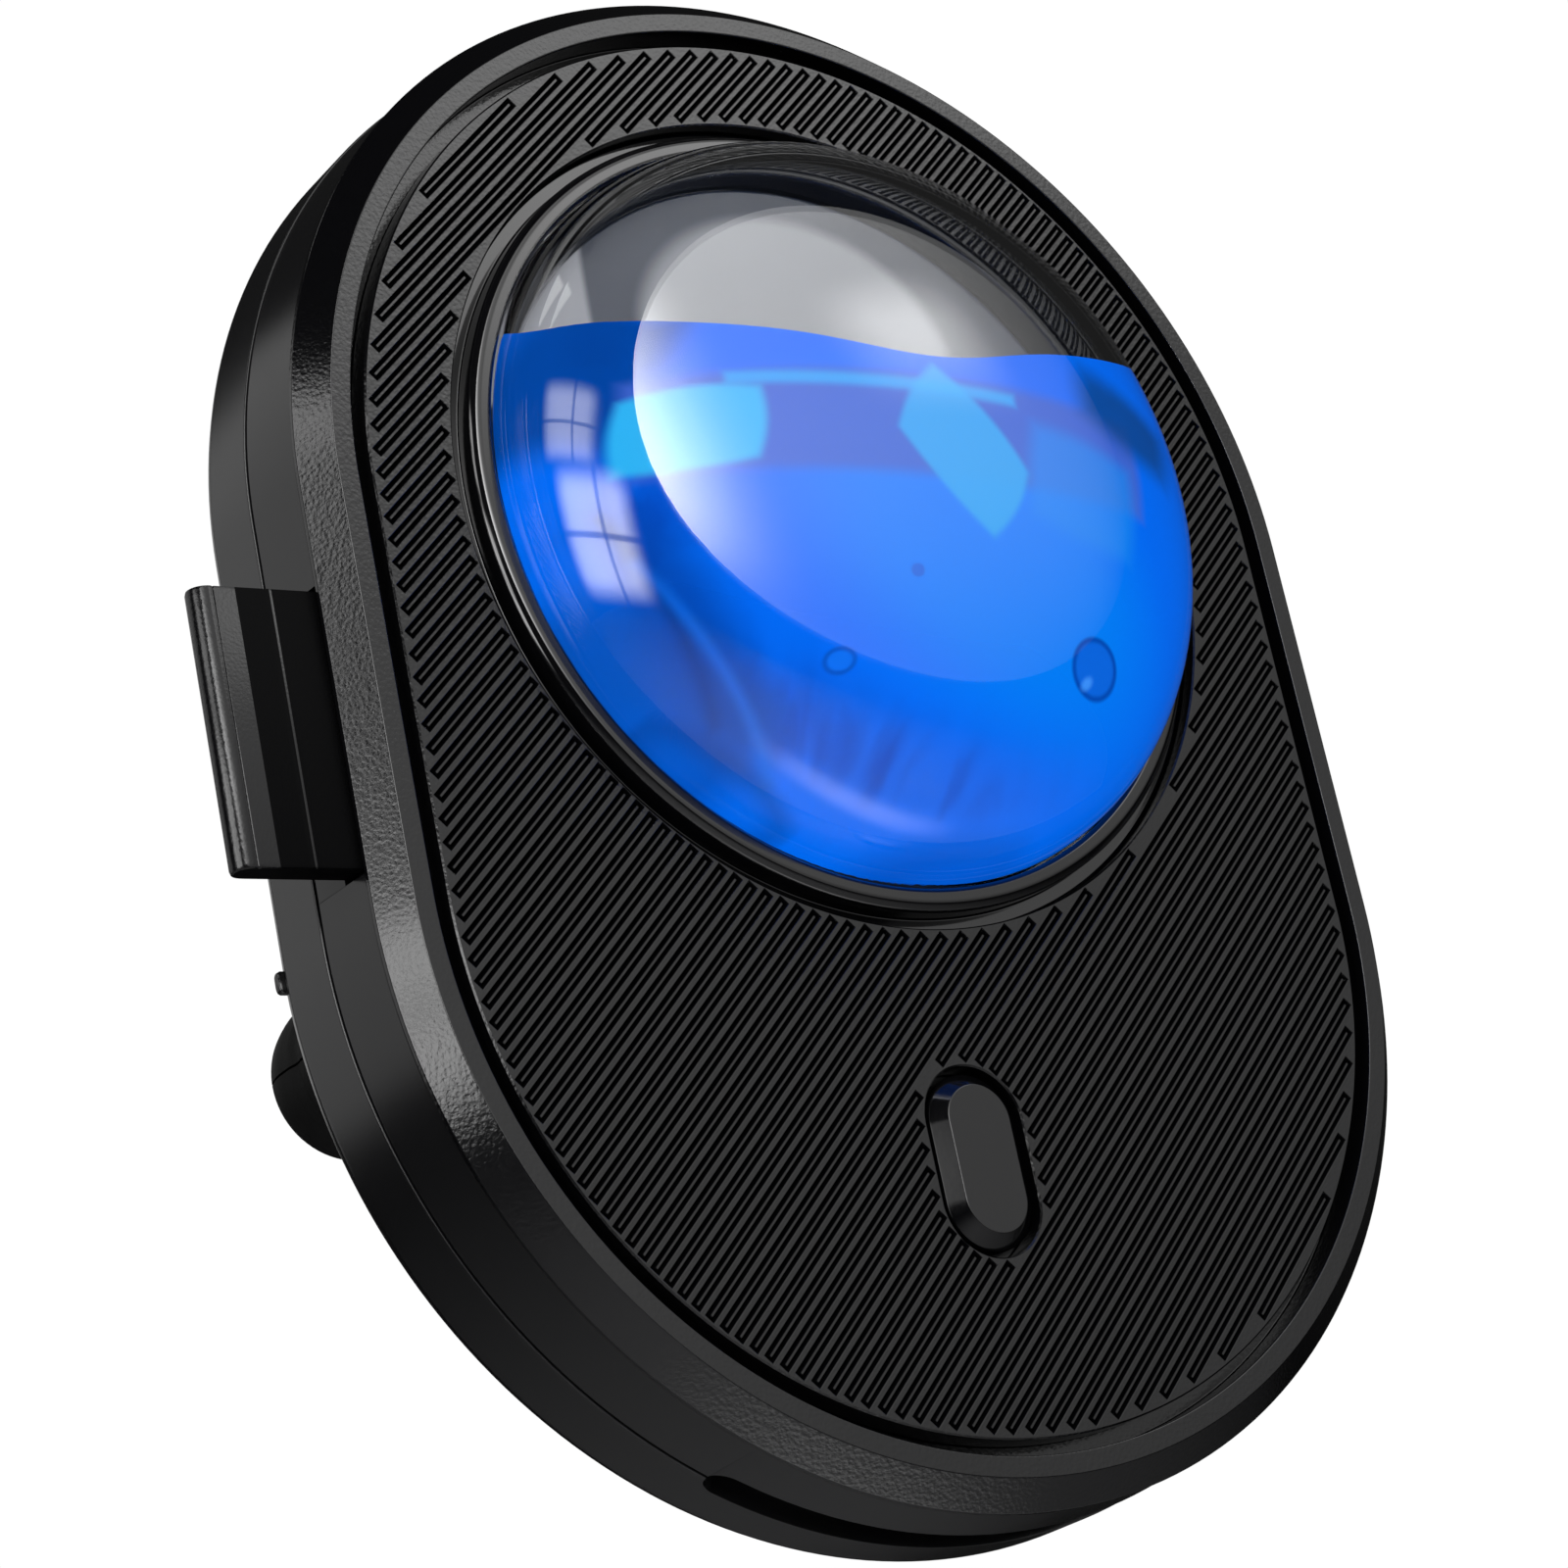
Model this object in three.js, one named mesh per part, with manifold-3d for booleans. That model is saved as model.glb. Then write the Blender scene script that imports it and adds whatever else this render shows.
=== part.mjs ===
// Radar detector with a liquid-filled signal dome, on a ball-jointed air-vent clip.
// Millimetres. +Z is up, -Y is the front face, +X is to the right of a viewer who faces the front.
// Depth is measured backwards (+Y) from the front lip; the whole head sits in a group that is
// moved forward, so that the origin is the middle of the clip's grip on the vent blade.

import * as THREE from 'three';
import { mergeVertices } from 'three/addons/utils/BufferGeometryUtils.js';
import Module from 'manifold-3d';

const wasm = await Module();
wasm.setup();

// ---------------------------------------------------------------- driving dimensions
const END_RADIUS = 38;            // outside radius of the two rounded ends
const HALF_STRAIGHT = 13;         // half the straight side between them
const CASE_DEPTH = 13.6;          // lip to rear face
const PARTING_DEPTH = 7.5;        // line between the middle and rear shells
const WALL = 1.5;                 // shell wall
const DOME_RADIUS = 25.3;         // clear dome at its foot
const DOME_HEIGHT = 14.5;         // dome above the lip
const DOME_WALL = 1.4;
const BALL_RADIUS = 6.5;          // swivel ball
const BALL_STANDOFF = 9.4;        // ball centre behind the case
const GRIP_STANDOFF = 46.4;       // middle of the grip behind the case
const PRONG_STANDOFF = 61.8;      // tip of the clip behind the case
const TRAY_HEIGHT = 17.3;         // card tray, up and down
const TRAY_THICKNESS = 2.0;
const TRAY_REACH = 7.4;           // how far the tray's grip stands out of the case
const BUTTON_HALF_WIDTH = 2.25;   // flat top of the button
const BUTTON_HALF_STRAIGHT = 2.4;
const RIB_PITCH = 1.05;           // channel to channel, measured square to them
const RIB_ANGLE = 44;             // degrees from horizontal

// ---------------------------------------------------------------- clearances
const GAP = 0.2;                  // between fixed neighbours
const RUN_GAP = 0.25;             // between pieces that slide or turn on each other
const PANEL_GROOVE = 1.0;         // shadow groove round the ribbed panel
const RING_GROOVE = 1.1;          // shadow groove round the dome ring
const BUTTON_GROOVE = 0.45;       // all round the button

// ---------------------------------------------------------------- facets
const END_FACETS = 18;            // per rounded end
const ROUND_FACETS = 40;          // large circles
const SMALL_FACETS = 14;          // screws, plugs and stems
const MOUNT_FACETS = 28;          // ball, nut and clip
const DOME_STEPS = 7;             // dome foot to crown

// ---------------------------------------------------------------- derived front
const LIP_OUTER = END_RADIUS - 2.0;
const LIP_INNER = LIP_OUTER - 1.3;
const CHAMFER_RADIUS = END_RADIUS - 0.3;
const CHAMFER_DEPTH = 1.8;
const BEZEL_BACK = CHAMFER_DEPTH + 0.35;
const SKIRT_RADIUS = CHAMFER_RADIUS - 1.8;
const SKIRT_DEPTH = BEZEL_BACK + 1.85;
const PANEL_RADIUS = LIP_INNER - PANEL_GROOVE;
const PANEL_FRONT = 0.15;
const PANEL_BACK = PANEL_FRONT + 1.7;
const PANEL_LEDGE = PANEL_RADIUS - 0.9;
const RIB_BORDER = 0.45;
const RIB_WIDTH = RIB_PITCH * 0.5;
const RIB_DEPTH = 0.35;
const SHELL_INNER = END_RADIUS - WALL - 0.1;
const BALL_DEPTH = CASE_DEPTH + BALL_STANDOFF;
const GRIP_DEPTH = CASE_DEPTH + GRIP_STANDOFF;
const PRONG_END = CASE_DEPTH + PRONG_STANDOFF;

const DOME_Z = HALF_STRAIGHT;     // the dome is concentric with the upper rounded end
const CAVITY_RADIUS = DOME_RADIUS - DOME_WALL;
const CAVITY_HEIGHT = DOME_HEIGHT - DOME_WALL;
const RING_INNER = DOME_RADIUS + GAP;
const RING_OUTER = RING_INNER + 1.3;
const RING_HOLE = RING_OUTER + RING_GROOVE;
const LENS_FLANGE_RADIUS = RING_OUTER - 0.3;
const LENS_FLANGE_FRONT = 2.0;
const LENS_FLANGE_BACK = 2.8;
const GASKET_THICKNESS = 0.6;
const BASE_FLANGE_FRONT = LENS_FLANGE_BACK + GASKET_THICKNESS + 0.2;
const BASE_FLANGE_BACK = BASE_FLANGE_FRONT + 0.8;
const BASE_FRONT = 1.0;
const BASE_PLATE = 1.2;            // thickness of the dome's back plate
const FILL_HOLE_REACH = CAVITY_RADIUS - 3.9;
const FILL_HOLE_RADIUS = 1.7;
const LIGHT_GUIDE_RADIUS = CAVITY_RADIUS - 6.4;
const LED_REACH = CAVITY_RADIUS / 2;
const LED_WIDTH = 3.5;
const LED_HEIGHT = 2.8;
const FRAME_HOLE = CAVITY_RADIUS - 3.9;
const LIQUID_LEVEL = DOME_Z + 0.419 * DOME_RADIUS;
const LIQUID_LEAN = 22;            // degrees; the level is drawn for a head leaning forward
const FRAME_FRONT = BASE_FLANGE_BACK + 0.4;
const FRAME_BACK = FRAME_FRONT + 1.0;
const BOARD_FRONT = FRAME_BACK + 0.4;
const BOARD_BACK = BOARD_FRONT + 1.0;
const BOARD_RADIUS = SHELL_INNER - 2.4;
const FLOOR_FRONT = CASE_DEPTH - 1.4;

const BUTTON_Z = -29.7;
const BUTTON_PROUD = 0.35;
const BUTTON_CHAMFER = 0.9;
const BUTTON_RADIUS = BUTTON_HALF_WIDTH + BUTTON_CHAMFER;
const BUTTON_HOLE = BUTTON_RADIUS + BUTTON_GROOVE;

const TRAY_Z = -2.1;
const TRAY_FRONT = BEZEL_BACK + RUN_GAP;
const TRAY_BACK = TRAY_FRONT + TRAY_THICKNESS;
const TRAY_OUTER = -(END_RADIUS + TRAY_REACH);
const TRAY_INNER = -(LENS_FLANGE_RADIUS + 0.6);
const CARD_LENGTH = 15.0;
const CARD_WIDTH = 11.0;
const CARD_THICKNESS = 0.8;

const SLOT_HALF_HEIGHT = 1.3;
const SLOT_HALF_ANGLE = 30;
const USB_WIDTH = 8.94;
const USB_HEIGHT = 3.2;
const USB_LENGTH = 7.3;

const SCREW_REACH = 29.4;         // case screws from the centre of their rounded end
const SCREW_X = SCREW_REACH * Math.SQRT1_2;
const SCREW_Z = HALF_STRAIGHT + SCREW_X;
const SCREW_RADIUS = 0.95;
const SCREW_HEAD_RADIUS = 1.9;
const BOSS_RADIUS = 3.1;
const HEAD_RECESS = 2.2;           // screw heads below the rear face
const LASER_Z = DOME_Z + 13;
const LASER_WINDOW_RADIUS = 3.6;
const NIB_Z = -13.7;

// ---------------------------------------------------------------- derived swivel mount
const SOCKET_FRONT = CASE_DEPTH + GAP;
const CUP_RADIUS = BALL_RADIUS + 1.0;
const COLLAR_RADIUS = CUP_RADIUS + 1.9;
const COLLAR_BACK = BALL_DEPTH - 0.4;
const SOCKET_FLANGE_RADIUS = COLLAR_RADIUS + 1.6;
const SOCKET_FLANGE_BACK = SOCKET_FRONT + 2.2;
const SEAT_INNER = BALL_RADIUS + 0.2;
const SEAT_OUTER = CUP_RADIUS - 0.2;
const NUT_FRONT = SOCKET_FLANGE_BACK + 0.4;
const NUT_BACK = BALL_DEPTH + 5.6;
const NUT_RADIUS = COLLAR_RADIUS + 2.6;
const NUT_BALL_RADIUS = BALL_RADIUS + 0.3;
const NUT_MOUTH = 6.0;
const NECK_RADIUS = 3.2;
const STUD_FLANGE_FRONT = BALL_DEPTH + 9.5;
const STUD_FLANGE_BACK = STUD_FLANGE_FRONT + 2.0;
const STUD_FLANGE_RADIUS = 6.0;
const SPIGOT_RADIUS = 2.6;
const SPIGOT_BACK = STUD_FLANGE_BACK + 8.0;
const HUB_FRONT = STUD_FLANGE_BACK + RUN_GAP;
const HUB_RADIUS = 6.4;
const HUB_BACK = HUB_FRONT + 11.2;
const PRONG_RADIUS = 5.4;
const PRONG_BACK = PRONG_END - 2.2;
const PAD_RADIUS = PRONG_RADIUS + GAP + 1.0;
const BLADE_SLOT = 2.8;

// ---------------------------------------------------------------- colours
const FINISH = {
  satinBlack: [0x17181a, 0.55, 0.0],
  fineBlack: [0x1b1c1e, 0.62, 0.0],
  glossBlack: [0x0c0d0f, 0.14, 0.0],
  innerBlack: [0x202124, 0.75, 0.0],
  clear: [0xe6eef5, 0.03, 0.0],
  liquid: [0x0a63ff, 0.05, 0.0],
  smoke: [0x3a3d42, 0.35, 0.0],
  milky: [0xe9edf2, 0.5, 0.0],
  led: [0xbfd6ff, 0.3, 0.0],
  rubber: [0x141414, 0.85, 0.0],
  board: [0x0e3b24, 0.5, 0.0],
  steel: [0xb8bcc2, 0.32, 1.0],
  nickel: [0xc9ccd0, 0.25, 1.0],
  ceramic: [0xd9cdb4, 0.5, 0.0],
  foil: [0xa9adb2, 0.4, 0.9],
  cloth: [0x1a1a1c, 0.9, 0.0],
  redWindow: [0x2a0508, 0.1, 0.0],
  card: [0x111214, 0.45, 0.0],
};

// ---------------------------------------------------------------- solid helpers

/** A manifold solid from a three.js geometry. */
function solid(geometry) {
  const plain = geometry.clone();
  plain.deleteAttribute('normal');
  plain.deleteAttribute('uv');
  const merged = mergeVertices(plain, 1e-4);
  const mesh = new wasm.Mesh({
    numProp: 3,
    vertProperties: Float32Array.from(merged.attributes.position.array),
    triVerts: Uint32Array.from(merged.index.array),
  });
  return new wasm.Manifold(mesh);
}

/** A three.js geometry from a manifold solid. */
function geometryOf(body) {
  const mesh = body.getMesh();
  const geometry = new THREE.BufferGeometry();
  geometry.setAttribute('position', new THREE.BufferAttribute(mesh.vertProperties, 3));
  geometry.setIndex(new THREE.BufferAttribute(mesh.triVerts, 1));
  geometry.computeVertexNormals();
  return geometry;
}

/** A named mesh in one of the finishes. */
function piece(name, geometry, finish) {
  const [color, roughness, metalness] = FINISH[finish];
  const material = new THREE.MeshStandardMaterial({ color, roughness, metalness });
  const mesh = new THREE.Mesh(geometry, material);
  mesh.name = name;
  return mesh;
}

/** Triangles for a closed quad grid: rows of vertices joined round both ways. */
function closedGrid(rows, columns, flip) {
  const index = [];
  for (let i = 0; i < rows; i += 1) {
    for (let j = 0; j < columns; j += 1) {
      const a = i * columns + j;
      const b = i * columns + ((j + 1) % columns);
      const c = ((i + 1) % rows) * columns + ((j + 1) % columns);
      const d = ((i + 1) % rows) * columns + j;
      index.push(...(flip ? [a, c, b, a, d, c] : [a, b, c, a, c, d]));
    }
  }
  return index;
}

/** Points round the oval: two rounded ends joined by the straight sides. */
function ovalPath(halfStraight, facets) {
  const path = [];
  for (let end = 0; end < 2; end += 1) {
    for (let i = 0; i <= facets; i += 1) {
      const angle = Math.PI * (end + i / facets);
      path.push({ z: end === 0 ? halfStraight : -halfStraight, angle });
    }
  }
  return path;
}

/** Signed area of a closed (radius, depth) outline. */
function outlineArea(outline) {
  return outline.reduce((sum, [r, d], i) => {
    const [r2, d2] = outline[(i + 1) % outline.length];
    return sum + (r * d2 - r2 * d) / 2;
  }, 0);
}

/** A ring of the given (radius, depth) outline, run round the oval. */
function ovalRing(outline, halfStraight = HALF_STRAIGHT, facets = END_FACETS) {
  const path = ovalPath(halfStraight, facets);
  const position = [];
  for (const { z, angle } of path) {
    for (const [radius, depth] of outline) {
      position.push(radius * Math.cos(angle), depth, z + radius * Math.sin(angle));
    }
  }
  const geometry = new THREE.BufferGeometry();
  geometry.setAttribute('position', new THREE.Float32BufferAttribute(position, 3));
  geometry.setIndex(closedGrid(path.length, outline.length, outlineArea(outline) < 0));
  geometry.computeVertexNormals();
  return geometry;
}

/** A solid oval whose outside follows (radius, depth) pairs from front to back. */
function ovalSolid(levels, halfStraight = HALF_STRAIGHT, facets = END_FACETS) {
  const path = ovalPath(halfStraight, facets);
  const count = path.length;
  const position = [];
  for (const [radius, depth] of levels) {
    for (const { z, angle } of path) {
      position.push(radius * Math.cos(angle), depth, z + radius * Math.sin(angle));
    }
  }
  const index = [];
  for (let i = 0; i + 1 < levels.length; i += 1) {
    for (let j = 0; j < count; j += 1) {
      const a = i * count + j;
      const b = i * count + ((j + 1) % count);
      index.push(a, a + count, b, b, a + count, b + count);
    }
  }
  const last = (levels.length - 1) * count;
  for (let j = 1; j + 1 < count; j += 1) {
    index.push(0, j, j + 1);
    index.push(last, last + j + 1, last + j);
  }
  const geometry = new THREE.BufferGeometry();
  geometry.setAttribute('position', new THREE.Float32BufferAttribute(position, 3));
  geometry.setIndex(index);
  geometry.computeVertexNormals();
  return geometry;
}

/** A turned solid about a depth axis, from a (radius, depth) outline on the axis. */
function turned(outline, x = 0, z = 0, facets = ROUND_FACETS) {
  const area = outlineArea(outline);
  const ordered = area > 0 ? outline : [...outline].reverse();
  const points = ordered.map(([radius, depth]) => new THREE.Vector2(Math.max(radius, 0), depth));
  const geometry = new THREE.LatheGeometry(points, facets);
  geometry.translate(x, 0, z);
  return geometry;
}

/** A turned ring: the outline closes on itself. */
function turnedRing(outline, x = 0, z = 0, facets = ROUND_FACETS) {
  return turned([...outline, outline[0]], x, z, facets);
}

/** A straight round bar along the depth axis. */
function bar(radius, front, back, x = 0, z = 0, facets = SMALL_FACETS) {
  return turned([[0, front], [radius, front], [radius, back], [0, back]], x, z, facets);
}

/** A box from its low and high corners. */
function box(low, high) {
  const size = low.map((value, i) => high[i] - value);
  const geometry = new THREE.BoxGeometry(...size);
  geometry.translate(...low.map((value, i) => value + size[i] / 2));
  return geometry;
}

/** Depth along a circle of the given radius round the ball centre, at a polar angle. */
function ballPoint(radius, degrees) {
  const angle = THREE.MathUtils.degToRad(degrees);
  return [radius * Math.sin(angle), BALL_DEPTH - radius * Math.cos(angle)];
}

/** Points of an arc round the ball centre between two polar angles. */
function ballArc(radius, from, to, steps) {
  return Array.from({ length: steps + 1 }, (_, i) => ballPoint(radius, from + ((to - from) * i) / steps));
}

/** Points of the dome's quarter ellipse, foot to crown. */
function domeArc(radius, height, steps = DOME_STEPS) {
  return Array.from({ length: steps + 1 }, (_, i) => {
    const angle = (Math.PI / 2) * (i / steps);
    return [radius * Math.cos(angle), -height * Math.sin(angle)];
  });
}

// ---------------------------------------------------------------- the case

/** The room that the card tray passes through, wider than the tray by the gap. */
function trayPassage(back) {
  const half = TRAY_HEIGHT / 2 + RUN_GAP;
  const low = [TRAY_OUTER - 1, BEZEL_BACK, TRAY_Z - half];
  const high = [-(PANEL_LEDGE - 4), back, TRAY_Z + half];
  return solid(box(low, high));
}

/** The long slot in the bottom of the case, centred on the parting line. */
function bottomSlot() {
  const half = THREE.MathUtils.degToRad(SLOT_HALF_ANGLE);
  const near = SHELL_INNER - 1;
  const far = END_RADIUS + 1;
  const shape = new THREE.Shape();
  shape.absarc(0, 0, far, -Math.PI / 2 - half, -Math.PI / 2 + half, false);
  shape.absarc(0, 0, near, -Math.PI / 2 + half, -Math.PI / 2 - half, true);
  const options = { depth: 2 * SLOT_HALF_HEIGHT, bevelEnabled: false, curveSegments: 10 };
  const geometry = new THREE.ExtrudeGeometry(shape, options);
  geometry.rotateX(Math.PI / 2);
  geometry.translate(0, PARTING_DEPTH + SLOT_HALF_HEIGHT, -HALF_STRAIGHT);
  return solid(geometry);
}

function frontBezel() {
  const ring = ovalRing([
    [LIP_INNER, 0],
    [LIP_OUTER, 0],
    [CHAMFER_RADIUS, CHAMFER_DEPTH],
    [CHAMFER_RADIUS, BEZEL_BACK],
    [SKIRT_RADIUS, BEZEL_BACK],
    [SKIRT_RADIUS, SKIRT_DEPTH],
    [PANEL_LEDGE, SKIRT_DEPTH],
    [PANEL_LEDGE, PANEL_BACK + GAP],
    [LIP_INNER, PANEL_BACK + GAP],
  ]);
  const body = solid(ring).subtract(trayPassage(SKIRT_DEPTH + 1));
  return piece('front_bezel', geometryOf(body), 'fineBlack');
}

function midShell() {
  const ledge = SKIRT_DEPTH + GAP;
  const ring = ovalRing([
    [SKIRT_RADIUS + GAP, BEZEL_BACK + GAP],
    [CHAMFER_RADIUS - 0.25, BEZEL_BACK + GAP],
    [END_RADIUS - 0.1, PARTING_DEPTH - GAP / 2],
    [SHELL_INNER, PARTING_DEPTH - GAP / 2],
    [SHELL_INNER, FRAME_FRONT - GAP],
    [SHELL_INNER - 1.6, FRAME_FRONT - GAP],
    [SHELL_INNER - 1.6, ledge],
    [SKIRT_RADIUS + GAP, ledge],
  ]);
  const body = solid(ring).subtract(trayPassage(TRAY_BACK + RUN_GAP)).subtract(bottomSlot());
  return piece('mid_shell', geometryOf(body), 'satinBlack');
}

function screwPlaces() {
  return [[-SCREW_X, SCREW_Z], [SCREW_X, SCREW_Z], [SCREW_X, -SCREW_Z], [-SCREW_X, -SCREW_Z]];
}

function socketScrewPlaces() {
  return [90, 210, 330].map((degrees) => {
    const angle = THREE.MathUtils.degToRad(degrees);
    const radius = COLLAR_RADIUS - 0.9;
    return [radius * Math.cos(angle), radius * Math.sin(angle)];
  });
}

function rearShell() {
  const front = PARTING_DEPTH + GAP / 2;
  let body = solid(ovalSolid([
    [END_RADIUS, front],
    [END_RADIUS, CASE_DEPTH - 1.2],
    [END_RADIUS - 0.35, CASE_DEPTH - 0.35],
    [END_RADIUS - 1.2, CASE_DEPTH],
  ]));
  body = body.subtract(solid(ovalSolid([[SHELL_INNER, front - 1], [SHELL_INNER, FLOOR_FRONT]])));
  for (const [x, z] of screwPlaces()) {
    body = body.add(solid(bar(BOSS_RADIUS, front + 0.1, FLOOR_FRONT + 0.5, x, z)));
    body = body.subtract(solid(bar(SCREW_RADIUS + GAP, front - 1, CASE_DEPTH + 1, x, z)));
    const recess = bar(SCREW_HEAD_RADIUS + GAP, CASE_DEPTH - HEAD_RECESS, CASE_DEPTH + 1, x, z);
    body = body.subtract(solid(recess));
  }
  for (const [x, z] of socketScrewPlaces()) {
    body = body.subtract(solid(bar(1.0, FLOOR_FRONT - 1, CASE_DEPTH + 1, x, z)));
  }
  const windowHole = bar(LASER_WINDOW_RADIUS + GAP, FLOOR_FRONT - 1, CASE_DEPTH + 1, 0, LASER_Z);
  body = body.subtract(solid(windowHole));
  const nibLow = [-(END_RADIUS + 0.7), CASE_DEPTH - 1.9, NIB_Z - 0.6];
  const nibHigh = [-(END_RADIUS - 1), CASE_DEPTH - 0.7, NIB_Z + 0.6];
  body = body.add(solid(box(nibLow, nibHigh))).subtract(bottomSlot());
  return piece('rear_shell', geometryOf(body), 'satinBlack');
}

/** The panel's channels: parallel strips kept inside the border and off the two openings. */
function ribChannels() {
  const field = solid(ovalSolid([
    [PANEL_RADIUS - RIB_BORDER, PANEL_FRONT - 1],
    [PANEL_RADIUS - RIB_BORDER, PANEL_FRONT + RIB_DEPTH],
  ]));
  const ringKeep = solid(bar(RING_HOLE + 0.3, -3, 3, 0, DOME_Z, ROUND_FACETS));
  const buttonKeep = ovalSolid(
    [[BUTTON_HOLE + 0.3, -3], [BUTTON_HOLE + 0.3, 3]],
    BUTTON_HALF_STRAIGHT,
    6,
  );
  buttonKeep.translate(0, 0, BUTTON_Z);
  const inside = field.subtract(ringKeep).subtract(solid(buttonKeep));
  const reach = PANEL_RADIUS + HALF_STRAIGHT;
  const count = Math.floor(reach / RIB_PITCH);
  const strips = [];
  for (let i = -count; i <= count; i += 1) {
    const strip = box(
      [-2 * reach, PANEL_FRONT - 0.8, i * RIB_PITCH - RIB_WIDTH / 2],
      [2 * reach, PANEL_FRONT + RIB_DEPTH, i * RIB_PITCH + RIB_WIDTH / 2],
    );
    strip.rotateY(-THREE.MathUtils.degToRad(RIB_ANGLE));
    strips.push(inside.intersect(solid(strip)));
  }
  return strips;
}

function ribPanel() {
  const plate = ovalSolid([[PANEL_RADIUS, PANEL_FRONT], [PANEL_RADIUS, PANEL_BACK]]);
  let body = solid(plate).subtract(solid(bar(RING_HOLE, -1, 3, 0, DOME_Z, ROUND_FACETS)));
  const hole = ovalSolid([[BUTTON_HOLE, -1], [BUTTON_HOLE, 3]], BUTTON_HALF_STRAIGHT, 8);
  hole.translate(0, 0, BUTTON_Z);
  body = body.subtract(solid(hole));
  for (const channel of ribChannels()) {
    body = body.subtract(channel);
  }
  return piece('rib_panel', geometryOf(body), 'satinBlack');
}

// ---------------------------------------------------------------- the dome

function domeRing() {
  const outline = [
    [RING_INNER, -0.3],
    [RING_INNER + 0.25, -0.55],
    [RING_INNER + 0.65, -0.55],
    [RING_INNER + 0.9, -0.3],
    [RING_INNER + 0.9, 0.1],
    [RING_OUTER, 0.1],
    [RING_OUTER, LENS_FLANGE_FRONT - GAP],
    [RING_INNER, LENS_FLANGE_FRONT - GAP],
  ];
  return piece('dome_ring', turnedRing(outline, 0, DOME_Z), 'glossBlack');
}

function domeLens() {
  const outline = [
    ...domeArc(CAVITY_RADIUS, CAVITY_HEIGHT).reverse(),
    [CAVITY_RADIUS, LENS_FLANGE_BACK],
    [LENS_FLANGE_RADIUS, LENS_FLANGE_BACK],
    [LENS_FLANGE_RADIUS, LENS_FLANGE_FRONT],
    [DOME_RADIUS, LENS_FLANGE_FRONT],
    ...domeArc(DOME_RADIUS, DOME_HEIGHT),
  ];
  return piece('dome_lens', turned(outline, 0, DOME_Z), 'clear');
}

function blueLiquid() {
  const outline = [
    [0, BASE_FRONT - GAP],
    [CAVITY_RADIUS - GAP, BASE_FRONT - GAP],
    ...domeArc(CAVITY_RADIUS - GAP, CAVITY_HEIGHT - GAP),
  ];
  const above = box([-30, -30, 0], [30, 20, 40]);
  above.rotateX(THREE.MathUtils.degToRad(LIQUID_LEAN));
  above.translate(0, 0, LIQUID_LEVEL);
  const body = solid(turned(outline, 0, DOME_Z)).subtract(solid(above));
  return piece('blue_liquid', geometryOf(body), 'liquid');
}

function domeBase() {
  const plug = CAVITY_RADIUS - GAP;
  const outline = [
    [0, BASE_FRONT],
    [plug, BASE_FRONT],
    [plug, BASE_FLANGE_FRONT],
    [LENS_FLANGE_RADIUS, BASE_FLANGE_FRONT],
    [LENS_FLANGE_RADIUS, BASE_FLANGE_BACK],
    [plug - BASE_PLATE, BASE_FLANGE_BACK],
    [plug - BASE_PLATE, BASE_FRONT + BASE_PLATE],
    [0, BASE_FRONT + BASE_PLATE],
  ];
  const hole = bar(FILL_HOLE_RADIUS, 0, BASE_FLANGE_FRONT, 0, DOME_Z + FILL_HOLE_REACH);
  const body = solid(turned(outline, 0, DOME_Z)).subtract(solid(hole));
  return piece('dome_base', geometryOf(body), 'smoke');
}

function domeSmallParts() {
  const gasketFront = LENS_FLANGE_BACK + 0.1;
  const gasket = turnedRing([
    [CAVITY_RADIUS + 0.2, gasketFront],
    [LENS_FLANGE_RADIUS - 0.2, gasketFront],
    [LENS_FLANGE_RADIUS - 0.2, gasketFront + GASKET_THICKNESS],
    [CAVITY_RADIUS + 0.2, gasketFront + GASKET_THICKNESS],
  ], 0, DOME_Z);
  const plugRadius = FILL_HOLE_RADIUS - GAP;
  const plugBack = BASE_FRONT + BASE_PLATE + 0.7;
  const plug = bar(plugRadius, BASE_FRONT + 0.1, plugBack, 0, DOME_Z + FILL_HOLE_REACH);
  const guideFront = BASE_FRONT + BASE_PLATE + 0.3;
  const guide = bar(LIGHT_GUIDE_RADIUS, guideFront, guideFront + 1.0, 0, DOME_Z, ROUND_FACETS);
  const parts = [
    piece('dome_gasket', gasket, 'rubber'),
    piece('fill_plug', plug, 'rubber'),
    piece('light_guide', guide, 'milky'),
  ];
  for (let i = 0; i < 4; i += 1) {
    const angle = (Math.PI / 2) * i + Math.PI / 4;
    const x = LED_REACH * Math.cos(angle);
    const z = DOME_Z + LED_REACH * Math.sin(angle);
    const low = [x - LED_WIDTH / 2, BOARD_FRONT - 1.0, z - LED_HEIGHT / 2];
    const high = [x + LED_WIDTH / 2, BOARD_FRONT - 0.1, z + LED_HEIGHT / 2];
    parts.push(piece(`alert_led_${i + 1}`, box(low, high), 'led'));
  }
  return parts;
}

// ---------------------------------------------------------------- button, frame and board

function powerButton() {
  const cap = ovalSolid([
    [BUTTON_HALF_WIDTH, -BUTTON_PROUD],
    [BUTTON_RADIUS, -BUTTON_PROUD + BUTTON_CHAMFER],
    [BUTTON_RADIUS, PANEL_BACK + 0.5],
  ], BUTTON_HALF_STRAIGHT, 10);
  const flangeRadius = BUTTON_HOLE + 0.8;
  const flange = ovalSolid(
    [[flangeRadius, PANEL_BACK + RUN_GAP], [flangeRadius, PANEL_BACK + 0.85]],
    BUTTON_HALF_STRAIGHT,
    10,
  );
  const stem = bar(1.4, PANEL_BACK + 0.7, PANEL_BACK + 1.15);
  const body = solid(cap).add(solid(flange)).add(solid(stem));
  const geometry = geometryOf(body);
  geometry.translate(0, 0, BUTTON_Z);
  return piece('power_button', geometry, 'satinBlack');
}

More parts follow.
